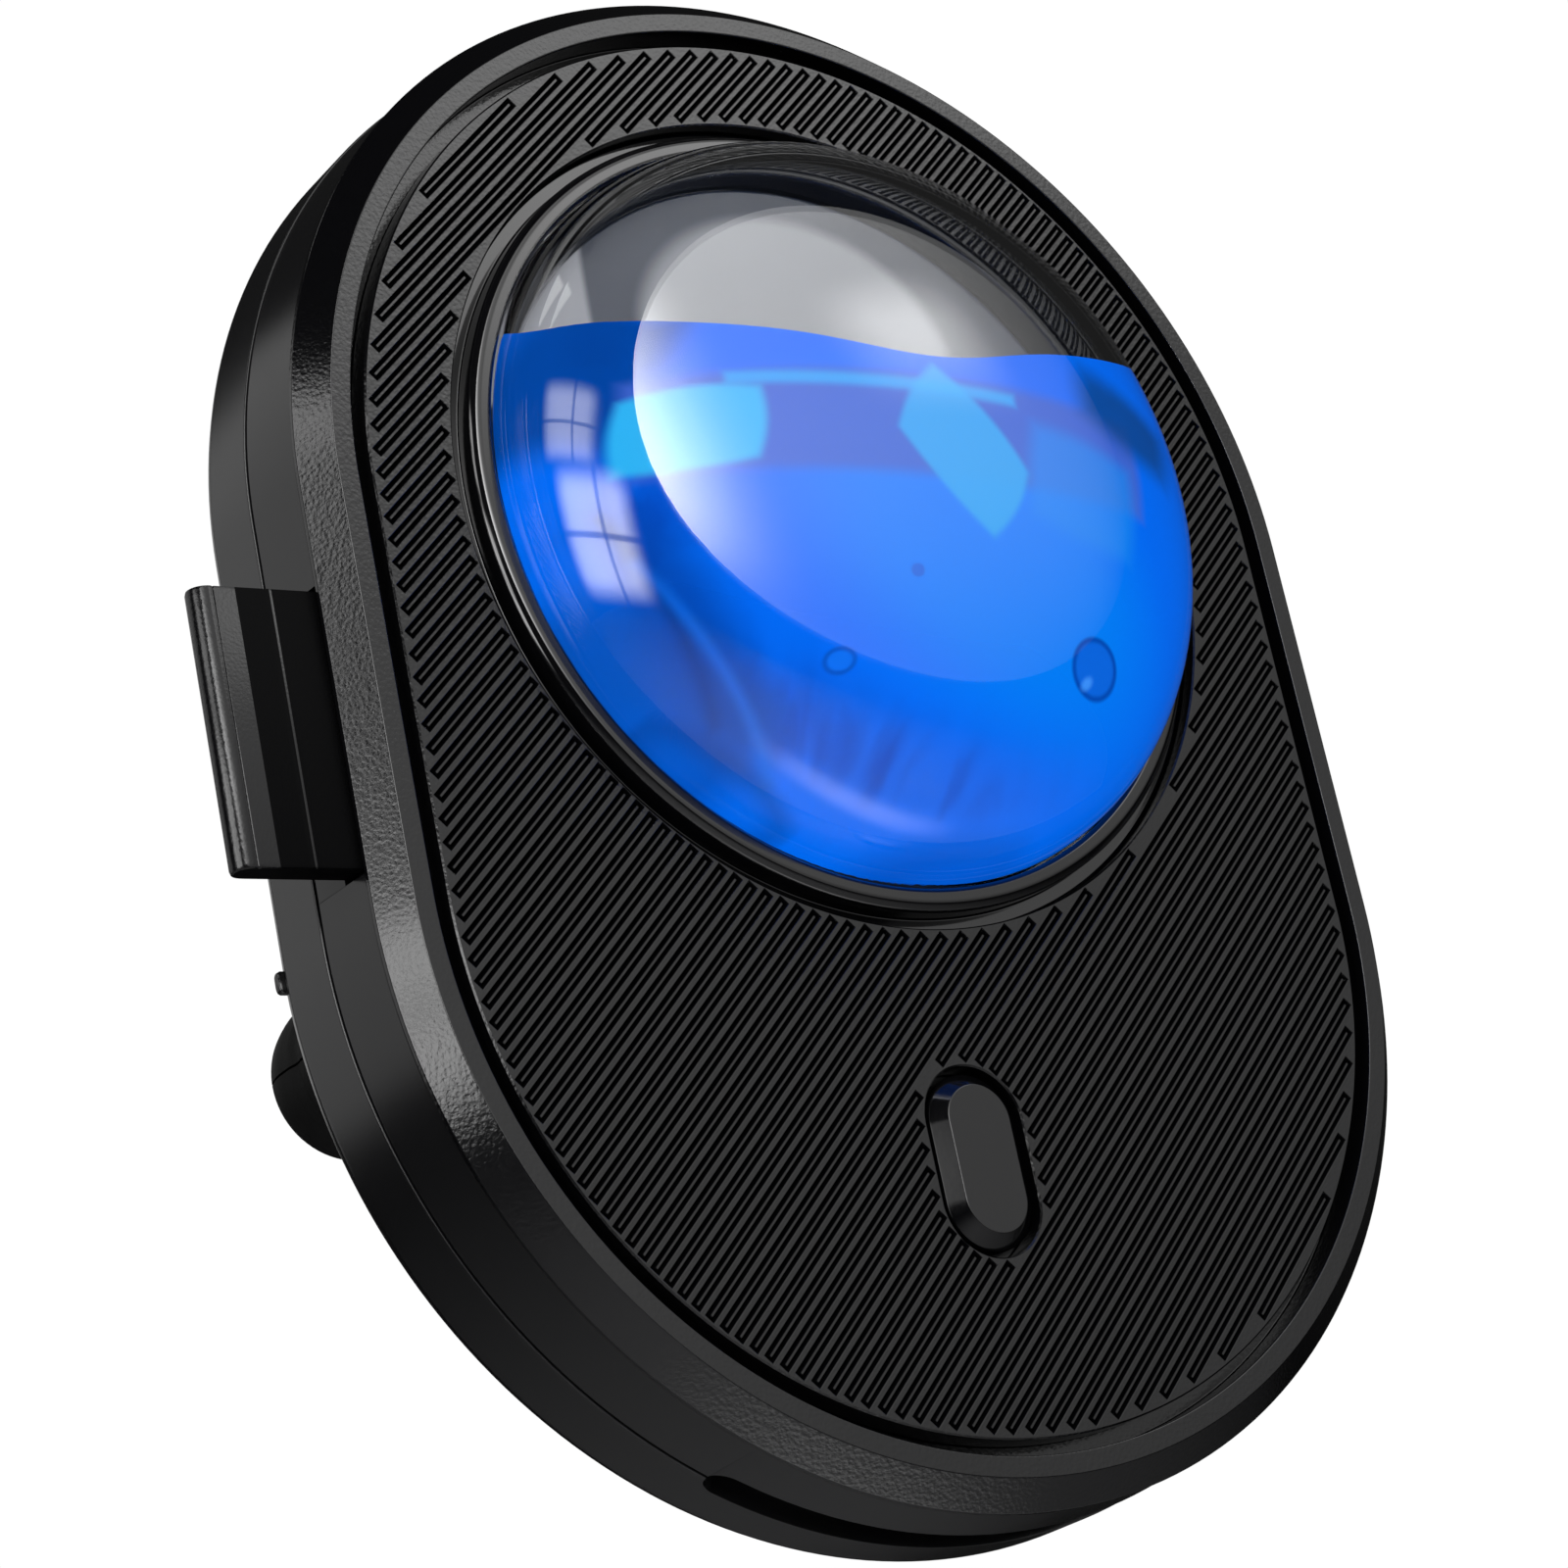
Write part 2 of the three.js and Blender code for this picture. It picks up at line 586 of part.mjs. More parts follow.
function buttonSwitch() {
  const bodyFront = FRAME_FRONT - 0.8;
  const housing = box([-2.6, bodyFront, BUTTON_Z - 2.6], [2.6, BOARD_FRONT - 0.1, BUTTON_Z + 2.6]);
  const plunger = bar(1.0, PANEL_BACK + 1.65, bodyFront + 0.2, 0, BUTTON_Z);
  const body = solid(housing).add(solid(plunger));
  return piece('button_switch', geometryOf(body), 'steel');
}

function innerFrame() {
  const radius = SHELL_INNER - 0.3;
  let body = solid(ovalSolid([[radius, FRAME_FRONT], [radius, FRAME_BACK]]));
  body = body.subtract(solid(bar(FRAME_HOLE, 0, BOARD_BACK, 0, DOME_Z, ROUND_FACETS)));
  body = body.subtract(solid(box([-4, 0, BUTTON_Z - 4], [4, 9, BUTTON_Z + 4])));
  for (const [x, z] of screwPlaces()) {
    body = body.add(solid(bar(BOSS_RADIUS - 0.5, FRAME_FRONT - 2.2, FRAME_BACK, x, z)));
    body = body.subtract(solid(bar(SCREW_RADIUS + GAP, FRAME_FRONT - 1.6, FRAME_BACK + 1, x, z)));
  }
  return piece('inner_frame', geometryOf(body), 'innerBlack');
}

function mainBoard() {
  let body = solid(ovalSolid([[BOARD_RADIUS, BOARD_FRONT], [BOARD_RADIUS, BOARD_BACK]]));
  for (const [x, z] of screwPlaces()) {
    body = body.subtract(solid(bar(SCREW_RADIUS + 0.4, 0, 9, x, z)));
  }
  const half = USB_WIDTH / 2 + 0.3;
  const mouth = -(HALF_STRAIGHT + SHELL_INNER);
  body = body.subtract(solid(box([-half, 0, mouth], [half, 9, mouth + USB_LENGTH + 1.0])));
  return piece('main_board', geometryOf(body), 'board');
}

function caseScrews() {
  return screwPlaces().map(([x, z], i) => {
    const shankFront = FRAME_FRONT - 1.2;
    const headFront = CASE_DEPTH - HEAD_RECESS + 0.1;
    const shank = bar(SCREW_RADIUS, shankFront, headFront + 0.2, x, z, 14);
    const head = bar(SCREW_HEAD_RADIUS, headFront, headFront + 1.5, x, z);
    const drive = box([x - 1.1, headFront + 0.7, z - 0.25], [x + 1.1, headFront + 3, z + 0.25]);
    const cross = box([x - 0.25, headFront + 0.7, z - 1.1], [x + 0.25, headFront + 3, z + 1.1]);
    const body = solid(shank).add(solid(head)).subtract(solid(drive)).subtract(solid(cross));
    return piece(`case_screw_${i + 1}`, geometryOf(body), 'steel');
  });
}

// ---------------------------------------------------------------- what the case holds

/** A block whose two ends, at their depths, have their own half width and half height. */
function taperedBlock(ends, centreZ) {
  const corners = [[-1, -1], [1, -1], [1, 1], [-1, 1]];
  const position = ends.flatMap(({ halfWidth, halfHeight, depth }) =>
    corners.flatMap(([x, z]) => [x * halfWidth, depth, centreZ + z * halfHeight]));
  const index = [0, 1, 2, 0, 2, 3, 4, 6, 5, 4, 7, 6];
  for (let i = 0; i < 4; i += 1) {
    const next = (i + 1) % 4;
    index.push(i, i + 4, next + 4, i, next + 4, next);
  }
  const geometry = new THREE.BufferGeometry();
  geometry.setAttribute('position', new THREE.Float32BufferAttribute(position, 3));
  geometry.setIndex(index);
  geometry.computeVertexNormals();
  return geometry;
}

function hornAntenna() {
  const front = BOARD_BACK + 0.3;
  const back = FLOOR_FRONT - 0.8;
  const centreZ = 10;
  const halfWidth = 15;
  const halfHeight = 11;
  const outer = box([-halfWidth, front, centreZ - halfHeight], [halfWidth, back, centreZ + halfHeight]);
  const flare = taperedBlock([
    { halfWidth: 9, halfHeight: 5, depth: front + 1.0 },
    { halfWidth: 12.5, halfHeight: 8.5, depth: back + 0.5 },
  ], centreZ);
  return piece('horn_antenna', geometryOf(solid(outer).subtract(solid(flare))), 'nickel');
}

function heldParts() {
  const front = BOARD_BACK + 0.3;
  const back = FLOOR_FRONT - 0.8;
  const speakerAt = [-10.5, -35.5];
  const laserWindow = bar(LASER_WINDOW_RADIUS, FLOOR_FRONT + 0.1, CASE_DEPTH - 0.1, 0, LASER_Z);
  return [
    piece('battery', box([-17, front, -24.5], [17, back, -4]), 'foil'),
    piece('gps_antenna', box([-6, front, 30.5], [6, back, 42.5]), 'ceramic'),
    piece('laser_sensor', bar(2.6, front, back, 0, LASER_Z), 'innerBlack'),
    piece('laser_window', laserWindow, 'redWindow'),
    piece('processor_can', box([18.5, front, -20], [30.5, front + 2, -4]), 'steel'),
    piece('speaker_cone', bar(7, front, front + 1.4, ...speakerAt, 28), 'cloth'),
    piece('speaker_magnet', bar(4.6, front + 1.5, back, ...speakerAt, 24), 'steel'),
  ];
}

/** A flat strip that follows the bottom of the case, between two angles from straight down. */
function bottomStrip(inner, outer, from, to, front, back) {
  const start = THREE.MathUtils.degToRad(from - 90);
  const stop = THREE.MathUtils.degToRad(to - 90);
  const shape = new THREE.Shape();
  shape.absarc(0, 0, outer, start, stop, false);
  shape.absarc(0, 0, inner, stop, start, true);
  const options = { depth: back - front, bevelEnabled: false, curveSegments: 6 };
  const geometry = new THREE.ExtrudeGeometry(shape, options);
  geometry.rotateX(Math.PI / 2);
  geometry.translate(0, back, -HALF_STRAIGHT);
  return geometry;
}

function slotParts() {
  const mouth = -(HALF_STRAIGHT + SHELL_INNER) + 0.7;
  const low = PARTING_DEPTH - USB_HEIGHT / 2;
  const high = PARTING_DEPTH + USB_HEIGHT / 2;
  const shellOuter = box([-USB_WIDTH / 2, low, mouth], [USB_WIDTH / 2, high, mouth + USB_LENGTH]);
  const shellInner = box(
    [-USB_WIDTH / 2 + 0.3, low + 0.3, mouth - 1],
    [USB_WIDTH / 2 - 0.3, high - 0.3, mouth + USB_LENGTH - 0.4],
  );
  const shell = solid(shellOuter).subtract(solid(shellInner));
  const tongue = box(
    [-3.35, PARTING_DEPTH - 0.35, mouth + 1.2],
    [3.35, PARTING_DEPTH + 0.35, mouth + USB_LENGTH - 0.6],
  );
  const inner = SHELL_INNER - 0.8;
  const outer = SHELL_INNER - 0.4;
  const meshFront = FRAME_BACK + GAP;
  const meshBack = PARTING_DEPTH + SLOT_HALF_HEIGHT + 0.4;
  const meshEdge = SLOT_HALF_ANGLE + 1;
  const leftMesh = bottomStrip(inner, outer, -meshEdge, -9, meshFront, meshBack);
  const rightMesh = bottomStrip(inner, outer, 9, meshEdge, meshFront, meshBack);
  return [
    piece('usb_shell', geometryOf(shell), 'nickel'),
    piece('usb_tongue', tongue, 'innerBlack'),
    piece('sound_mesh_left', leftMesh, 'cloth'),
    piece('sound_mesh_right', rightMesh, 'cloth'),
  ];
}

// ---------------------------------------------------------------- card tray

function cardPocket() {
  const right = TRAY_INNER - 0.4;
  return {
    low: [right - CARD_WIDTH, TRAY_FRONT, TRAY_Z - CARD_LENGTH / 2],
    high: [right, TRAY_FRONT + CARD_THICKNESS, TRAY_Z + CARD_LENGTH / 2],
  };
}

function cardTray() {
  const shape = new THREE.Shape();
  const round = TRAY_THICKNESS / 2;
  shape.moveTo(TRAY_INNER, TRAY_FRONT);
  shape.lineTo(TRAY_INNER, TRAY_BACK);
  shape.lineTo(TRAY_OUTER + round, TRAY_BACK);
  shape.absarc(TRAY_OUTER + round, TRAY_FRONT + round, round, Math.PI / 2, (3 * Math.PI) / 2, false);
  shape.lineTo(TRAY_INNER, TRAY_FRONT);
  const options = { depth: TRAY_HEIGHT, bevelEnabled: false, curveSegments: 8 };
  const plate = new THREE.ExtrudeGeometry(shape, options);
  plate.translate(0, 0, TRAY_Z - TRAY_HEIGHT / 2);
  const { low, high } = cardPocket();
  const pocket = box(
    [low[0] - 0.2, low[1] - 1, low[2] - 0.2],
    [high[0] + 0.2, high[1] + 0.3, high[2] + 0.2],
  );
  const body = solid(plate).subtract(solid(pocket));
  return piece('card_tray', geometryOf(body), 'glossBlack');
}

function memoryCard() {
  const { low, high } = cardPocket();
  const body = box([low[0], low[1] + 0.1, low[2]], [high[0], high[1] + 0.1, high[2]]);
  return piece('memory_card', body, 'card');
}

function cardReader() {
  const left = -(SKIRT_RADIUS - 4.0);
  const railTop = TRAY_Z + TRAY_HEIGHT / 2 + RUN_GAP;
  const railBottom = TRAY_Z - TRAY_HEIGHT / 2 - RUN_GAP;
  const stop = TRAY_INNER + RUN_GAP;
  const spine = solid(box([stop, TRAY_FRONT, railBottom - 1], [stop + 0.5, TRAY_BACK, railTop + 1]));
  const top = solid(box([left, TRAY_FRONT, railTop], [stop + 0.3, TRAY_BACK, railTop + 1]));
  const bottom = solid(box([left, TRAY_FRONT, railBottom - 1], [stop + 0.3, TRAY_BACK, railBottom]));
  return piece('card_reader', geometryOf(spine.add(top).add(bottom)), 'steel');
}

// ---------------------------------------------------------------- swivel and vent clip

function ballSocket() {
  const outline = [
    [0, SOCKET_FRONT],
    [SOCKET_FLANGE_RADIUS, SOCKET_FRONT],
    [SOCKET_FLANGE_RADIUS, SOCKET_FLANGE_BACK],
    [COLLAR_RADIUS, SOCKET_FLANGE_BACK],
    [COLLAR_RADIUS, COLLAR_BACK],
    ...ballArc(CUP_RADIUS, 87, 0, 6),
  ];
  let body = solid(turned(outline, 0, 0, MOUNT_FACETS));
  for (const [x, z] of socketScrewPlaces()) {
    body = body.subtract(solid(bar(1.0, SOCKET_FRONT - 1, SOCKET_FRONT + 1.6, x, z, 14)));
  }
  return piece('ball_socket', geometryOf(body), 'satinBlack');
}

function socketScrews() {
  return socketScrewPlaces().map(([x, z], i) => {
    const head = bar(1.5, FLOOR_FRONT - 0.6, FLOOR_FRONT - 0.05, x, z, 16);
    const shank = bar(0.8, FLOOR_FRONT - 0.3, SOCKET_FRONT + 1.4, x, z, 12);
    return piece(`socket_screw_${i + 1}`, geometryOf(solid(head).add(solid(shank))), 'steel');
  });
}

function ballSeat() {
  const outline = [...ballArc(SEAT_INNER, 20, 65, 4), ...ballArc(SEAT_OUTER, 65, 20, 4)];
  return piece('ball_seat', turnedRing(outline, 0, 0, MOUNT_FACETS), 'rubber');
}

function ringNut() {
  const lip = (Math.asin(NUT_MOUTH / NUT_BALL_RADIUS) * 180) / Math.PI;
  const outline = [
    [COLLAR_RADIUS + RUN_GAP, NUT_FRONT],
    [NUT_RADIUS, NUT_FRONT],
    [NUT_RADIUS, NUT_BACK - 1.2],
    [NUT_RADIUS - 1.2, NUT_BACK],
    [NUT_MOUTH, NUT_BACK],
    ...ballArc(NUT_BALL_RADIUS, 180 - lip, 92, 4),
    [COLLAR_RADIUS + RUN_GAP, BALL_DEPTH + 0.24],
  ];
  let body = solid(turnedRing(outline, 0, 0, MOUNT_FACETS));
  for (let i = 0; i < 12; i += 1) {
    const angle = (Math.PI / 6) * i;
    const x = (NUT_RADIUS + 0.8) * Math.cos(angle);
    const z = (NUT_RADIUS + 0.8) * Math.sin(angle);
    body = body.subtract(solid(bar(1.5, NUT_FRONT - 1, NUT_BACK + 1, x, z, 8)));
  }
  return piece('ring_nut', geometryOf(body), 'satinBlack');
}

function ballStud() {
  const neckAngle = 180 - (Math.asin(NECK_RADIUS / BALL_RADIUS) * 180) / Math.PI;
  const outline = [
    ...ballArc(BALL_RADIUS, 0, neckAngle, 9),
    [NECK_RADIUS, STUD_FLANGE_FRONT],
    [STUD_FLANGE_RADIUS, STUD_FLANGE_FRONT],
    [STUD_FLANGE_RADIUS, STUD_FLANGE_BACK],
    [SPIGOT_RADIUS, STUD_FLANGE_BACK],
    [SPIGOT_RADIUS, SPIGOT_BACK],
    [1.2, SPIGOT_BACK],
    [1.2, SPIGOT_BACK - 5],
    [0, SPIGOT_BACK - 5],
  ];
  return piece('ball_stud', turned(outline, 0, 0, MOUNT_FACETS), 'satinBlack');
}

function swivelScrew() {
  const headFront = SPIGOT_BACK + 2.3;
  const outline = [
    [0, SPIGOT_BACK - 4.5],
    [1.0, SPIGOT_BACK - 4.5],
    [1.0, headFront],
    [2.1, headFront],
    [2.1, headFront + 1.3],
    [0, headFront + 1.3],
  ];
  return piece('swivel_screw', turned(outline, 0, 0, SMALL_FACETS), 'steel');
}

/** Two crossing gaps that let a vent blade, upright or level, in between the prongs. */
function bladeSlots(width, front, back) {
  const half = width / 2;
  const upright = solid(box([-half, front, -12], [half, back, 12]));
  const level = solid(box([-12, front, -half], [12, back, half]));
  return upright.add(level);
}

function clipCore() {
  const wallFront = SPIGOT_BACK + 0.5;
  const wallBack = wallFront + 1.5;
  const outline = [
    [SPIGOT_RADIUS + RUN_GAP, HUB_FRONT],
    [8.0, HUB_FRONT],
    [8.0, HUB_FRONT + 2.5],
    [HUB_RADIUS, HUB_FRONT + 2.5],
    [HUB_RADIUS, HUB_BACK],
    [PRONG_RADIUS, HUB_BACK + 1.0],
    [PRONG_RADIUS, PRONG_BACK],
    [2.6, PRONG_BACK],
    [2.6, wallBack],
    [1.0 + RUN_GAP, wallBack],
    [1.0 + RUN_GAP, wallFront],
    [SPIGOT_RADIUS + RUN_GAP, wallFront],
  ];
  const slots = bladeSlots(BLADE_SLOT, HUB_BACK + 3, PRONG_END + 1);
  const body = solid(turnedRing(outline, 0, 0, MOUNT_FACETS)).subtract(slots);
  return piece('clip_core', geometryOf(body), 'satinBlack');
}

function prongPads() {
  const front = HUB_BACK + 3.5;
  const inner = PRONG_RADIUS + GAP;
  const outline = [
    [inner, front],
    [PAD_RADIUS, front],
    [PAD_RADIUS, PRONG_END - 3.7],
    [PAD_RADIUS - 0.5, PRONG_END - 1.8],
    [PAD_RADIUS - 1.5, PRONG_END - 0.6],
    [PAD_RADIUS - 3.1, PRONG_END],
    [PAD_RADIUS - 3.1, PRONG_BACK + GAP],
    [inner, PRONG_BACK + GAP],
  ];
  const slots = bladeSlots(BLADE_SLOT, 0, PRONG_END + 1);
  const whole = solid(turnedRing(outline, 0, 0, MOUNT_FACETS)).subtract(slots);
  const quarters = [[0, 0], [-12, 0], [-12, -12], [0, -12]];
  return quarters.map(([x, z], i) => {
    const corner = solid(box([x, 0, z], [x + 12, PRONG_END + 1, z + 12]));
    return piece(`prong_pad_${i + 1}`, geometryOf(whole.intersect(corner)), 'rubber');
  });
}

// ---------------------------------------------------------------- assembly
const head = new THREE.Group();
head.name = 'head';
head.add(frontBezel(), midShell(), rearShell(), ribPanel());
head.add(domeRing(), domeLens(), blueLiquid(), domeBase(), ...domeSmallParts());
head.add(powerButton(), buttonSwitch(), innerFrame(), mainBoard(), ...caseScrews());
head.add(hornAntenna(), ...heldParts(), ...slotParts());
head.add(cardTray(), memoryCard(), cardReader());

const mount = new THREE.Group();
mount.name = 'mount';
mount.add(ballSocket(), ...socketScrews(), ballSeat(), ringNut(), ballStud(), swivelScrew());
mount.add(clipCore(), ...prongPads());

const group = new THREE.Group();
group.name = 'radar_detector';
head.position.y = -GRIP_DEPTH;
mount.position.y = -GRIP_DEPTH;
group.add(head, mount);

export default group;
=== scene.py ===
"""Radar detector with a dome of blue liquid, on a ball-jointed vent clip: the visual model.

Metres, in the same frame as the solid model: +Z up, -Y the front face, origin in the clip's grip.
Depth is counted backwards from the front lip, in millimetres, as a case maker would dimension it.
"""

from __future__ import annotations

import logging
from dataclasses import dataclass, field
from enum import Enum
from functools import cache
from typing import Callable, Iterable, Sequence

import bmesh
import bpy
import numpy as np
from mathutils import Matrix, Vector
from mathutils.geometry import delaunay_2d_cdt


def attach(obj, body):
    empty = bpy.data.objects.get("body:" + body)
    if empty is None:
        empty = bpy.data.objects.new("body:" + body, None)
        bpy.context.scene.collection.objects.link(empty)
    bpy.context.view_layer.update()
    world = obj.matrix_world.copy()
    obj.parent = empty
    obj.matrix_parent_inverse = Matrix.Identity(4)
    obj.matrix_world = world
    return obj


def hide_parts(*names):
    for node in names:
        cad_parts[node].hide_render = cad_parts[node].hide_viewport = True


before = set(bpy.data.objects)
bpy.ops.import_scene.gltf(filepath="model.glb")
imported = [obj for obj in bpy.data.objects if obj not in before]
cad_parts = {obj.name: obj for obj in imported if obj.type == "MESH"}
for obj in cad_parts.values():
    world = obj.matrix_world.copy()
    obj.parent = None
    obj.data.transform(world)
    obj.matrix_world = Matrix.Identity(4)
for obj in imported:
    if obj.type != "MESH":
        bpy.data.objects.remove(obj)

LOG = logging.getLogger("detector")
MM = 0.001
LIP_PLANE = -60.0  # the front lip's place, from which depth is counted backwards
SHARP_DEG = 40.0  # edges that turn by more than this stay crisp
SQUEEZE = 0.05  # what is left of a wall's reach where it gives way to a mouth or slot
Array = np.ndarray
Outline = Sequence[tuple[float, float]]
Colour = tuple[float, float, float]
Socket = bpy.types.NodeSocket
Tree = bpy.types.NodeTree
Node = bpy.types.Node
Piece = bpy.types.Object


# ---------------------------------------------------------------- surfaces


@dataclass
class Shell:
    """Vertices in millimetres (x, depth, z) and polygons as index loops of any length."""

    points: Array
    loops: Array
    sizes: Array
    tags: Array

    @staticmethod
    def join(parts: Iterable["Shell"]) -> "Shell":
        """Several shells as one, indices shifted by the points before them."""
        parts = list(parts)
        starts = np.cumsum([0] + [len(p.points) for p in parts[:-1]])
        return Shell(
            np.concatenate([p.points for p in parts]),
            np.concatenate([p.loops + s for p, s in zip(parts, starts)]),
            np.concatenate([p.sizes for p in parts]),
            np.concatenate([p.tags for p in parts]),
        )

    def volume(self) -> float:
        """Signed volume: a fan of each polygon against the origin, summed."""
        starts = np.cumsum(self.sizes) - self.sizes
        owner = np.repeat(np.arange(len(self.sizes)), self.sizes)
        first = self.loops[starts][owner]
        following = np.arange(len(self.loops)) + 1
        last = following == (starts + self.sizes)[owner]
        following[last] = starts[owner][last]
        a = self.points[first]
        b = self.points[self.loops]
        c = self.points[self.loops[following]]
        return float(np.einsum("ij,ij->i", a, np.cross(b, c)).sum() / 6.0)

    def outward(self) -> "Shell":
        """The same shell, every polygon reversed if its signed volume is negative."""
        if self.volume() >= 0:
            return self
        starts = np.cumsum(self.sizes) - self.sizes
        owner = np.repeat(np.arange(len(self.sizes)), self.sizes)
        step = np.arange(len(self.loops)) - starts[owner]
        reverse = starts[owner] + self.sizes[owner] - 1 - step
        return Shell(self.points, self.loops[reverse], self.sizes, self.tags)


def grid_shell(points: Array, wrap_rows: bool, wrap_columns: bool, tags: Array | None = None) -> Shell:
    """A shell of quads over a grid of points.

    Args:
        points: array of rows x columns x 3.
        wrap_rows: the last row joins the first.
        wrap_columns: the last column joins the first.
        tags: one finish number for each band between two rows.

    Returns:
        The quads between each row and the next, column by column.
    """
    rows, columns = points.shape[:2]
    i = np.arange(rows if wrap_rows else rows - 1)
    j = np.arange(columns if wrap_columns else columns - 1)
    i, j = np.meshgrid(i, j, indexing="ij")
    below = (i + 1) % rows
    beside = (j + 1) % columns
    quads = np.stack(
        [i * columns + j, i * columns + beside, below * columns + beside, below * columns + j], -1
    )
    band = np.zeros(rows, int) if tags is None else np.asarray(tags)
    return Shell(
        points.reshape(-1, 3),
        quads.reshape(-1),
        np.full(quads.shape[0] * quads.shape[1], 4),
        band[i].reshape(-1),
    )


@dataclass(frozen=True)
class Track:
    """A closed path that an outline is carried round: local centres and outward angles."""

    x: Array
    z: Array
    angle: Array

    @staticmethod
    def circle(x: float, z: float, steps: int) -> "Track":
        """A circle about (x, z), for turned pieces."""
        angle = np.linspace(0, 2 * np.pi, steps, endpoint=False)
        return Track(np.full(steps, x), np.full(steps, z), angle)

    @staticmethod
    def oval(
        z: float, half: float, steps: int, side_z: Sequence[float] = (), low_deg: Sequence[float] = ()
    ) -> "Track":
        """Two half circles joined by straight sides of 2 x half.

        Args:
            z: centre height of the oval.
            half: half the straight side.
            steps: divisions of each rounded end.
            side_z: extra stations on the left side, as heights.
            low_deg: extra stations on the lower end, in degrees from straight down.

        Returns:
            The track, anticlockwise from the right.
        """
        upper = np.linspace(0, np.pi, steps + 1)
        lower = np.unique(
            np.concatenate([np.linspace(np.pi, 2 * np.pi, steps + 1), np.radians(270 + np.array(low_deg))])
        )
        side = np.sort(np.array(side_z, float))[::-1]
        angle = np.concatenate([upper, np.full(len(side), np.pi), lower])
        centre = np.concatenate([np.full(len(upper), half), side, np.full(len(lower), -half)])
        return Track(np.zeros(len(angle)), z + centre, angle)


def eased(outline: Outline, ease: float | Sequence[float], closed: bool = True, steps: int = 4) -> Array:
    """An outline with softened corners.

    Each corner C becomes the curve (1-t)^2 A + 2t(1-t) C + t^2 B between points A and B, set back
    from it by the ease along both edges, with one more point beyond each so flats stay flat.

    Args:
        outline: (radius, depth) corners.
        ease: set-back of every corner, or one for each.
        closed: the outline joins its first point again.
        steps: divisions of each softened corner.

    Returns:
        The softened outline as an array of (radius, depth).
    """
    corner = np.array(outline, float)
    back = np.roll(corner, 1, 0) - corner
    forth = np.roll(corner, -1, 0) - corner
    back_length = np.maximum(np.linalg.norm(back, axis=1, keepdims=True), 1e-9)
    forth_length = np.maximum(np.linalg.norm(forth, axis=1, keepdims=True), 1e-9)
    wish = np.broadcast_to(np.asarray(ease, float), len(corner)).reshape(-1, 1)
    set_back = np.minimum(wish, 0.36 * np.minimum(back_length, forth_length))
    a = corner + back / back_length * set_back
    b = corner + forth / forth_length * set_back
    t = np.linspace(0, 1, steps + 1).reshape(1, -1, 1)
    curve = (1 - t) ** 2 * a[:, None] + 2 * t * (1 - t) * corner[:, None] + t**2 * b[:, None]
    before = (corner + back / back_length * set_back * 1.3)[:, None]
    after = (corner + forth / forth_length * set_back * 1.3)[:, None]
    rows = np.concatenate([before, curve, after], 1)
    if not closed:
        rows[0] = corner[0]
        rows[-1] = corner[-1]
    flat = rows.reshape(-1, 2)
    apart = np.linalg.norm(np.diff(flat, axis=0, append=flat[:1] + 9), axis=1) > 1e-5
    return flat[apart]


def carried(
    outline: Array, track: Track,
    shape: Callable[[Array, Array, Array, Array], tuple[Array, Array]] | None = None,
) -> Array:
    """Points of an outline carried round a track: x = cx + r cos(a), z = cz + r sin(a), depth as given.

    Args:
        outline: (radius, depth) rows.
        track: the path.
        shape: changes (radius, depth) given the angle and height of each station, for notches and flutes.

    Returns:
        An array of rows x stations x 3.
    """
    radius = np.repeat(outline[:, :1], len(track.angle), 1)
    depth = np.repeat(outline[:, 1:2], len(track.angle), 1)
    angle = np.broadcast_to(track.angle, radius.shape)
    if shape is not None:
        height = np.broadcast_to(track.z, radius.shape) + radius * np.sin(angle)
        radius, depth = shape(radius, depth, angle, height)
    return np.stack([track.x + radius * np.cos(angle), depth, track.z + radius * np.sin(angle)], -1)


def ring_shell(outline: Array, track: Track, shape: Callable | None = None) -> Shell:
    """A closed outline carried all the way round a track."""
    return grid_shell(carried(outline, track, shape), True, True).outward()


def solid_shell(
    outline: Array, track: Track, shape: Callable | None = None, tags: Array | None = None
) -> Shell:
    """An open outline, from the middle line and back to it, carried round a track."""
    return grid_shell(carried(outline, track, shape), False, True, tags).outward()


def wedge_shell(outline: Array, half_gap: float | Array, quarter: int, steps: int = 14) -> Shell:
    """A quarter of a turned ring between two crossing flat gaps.

    The angle at radius r runs from arcsin(half_gap / r) to a right angle less the same, so both
    ends are flat and parallel to the gaps; each end is closed by one polygon.

    Args:
        outline: closed (radius, depth) rows.
        half_gap: half the width of the gaps, one value or one for each row of the outline.
        quarter: 0 to 3, anticlockwise from +X.
        steps: divisions round the quarter.

    Returns:
        The closed quarter.
    """
    radius, depth = outline[:, :1], outline[:, 1:2]
    start = np.arcsin(np.clip(half_gap / radius, 0, 0.99))
    t = np.linspace(0, 1, steps + 1).reshape(1, -1)
    angle = quarter * np.pi / 2 + start + t * (np.pi / 2 - 2 * start)
    points = np.stack(
        [radius * np.cos(angle), np.broadcast_to(depth, angle.shape), radius * np.sin(angle)], -1
    )
    body = grid_shell(points, True, False)
    rows, columns = angle.shape
    first = np.arange(rows) * columns
    last = first[::-1] + columns - 1
    body.loops = np.concatenate([body.loops, first, last])
    body.sizes = np.concatenate([body.sizes, [rows, rows]])
    body.tags = np.concatenate([body.tags, [0, 0]])
    return body.outward()


def loop_oval(radius: float, half: float, z: float, steps: int) -> Array:
    """A closed loop of (x, z) points round an oval, or round a circle where half is 0."""
    angle = np.linspace(0, 2 * np.pi, 2 * steps, endpoint=False)
    centre = np.where(np.sin(angle) >= -1e-9, half, -half)
    return np.stack([radius * np.cos(angle), z + centre + radius * np.sin(angle)], -1)


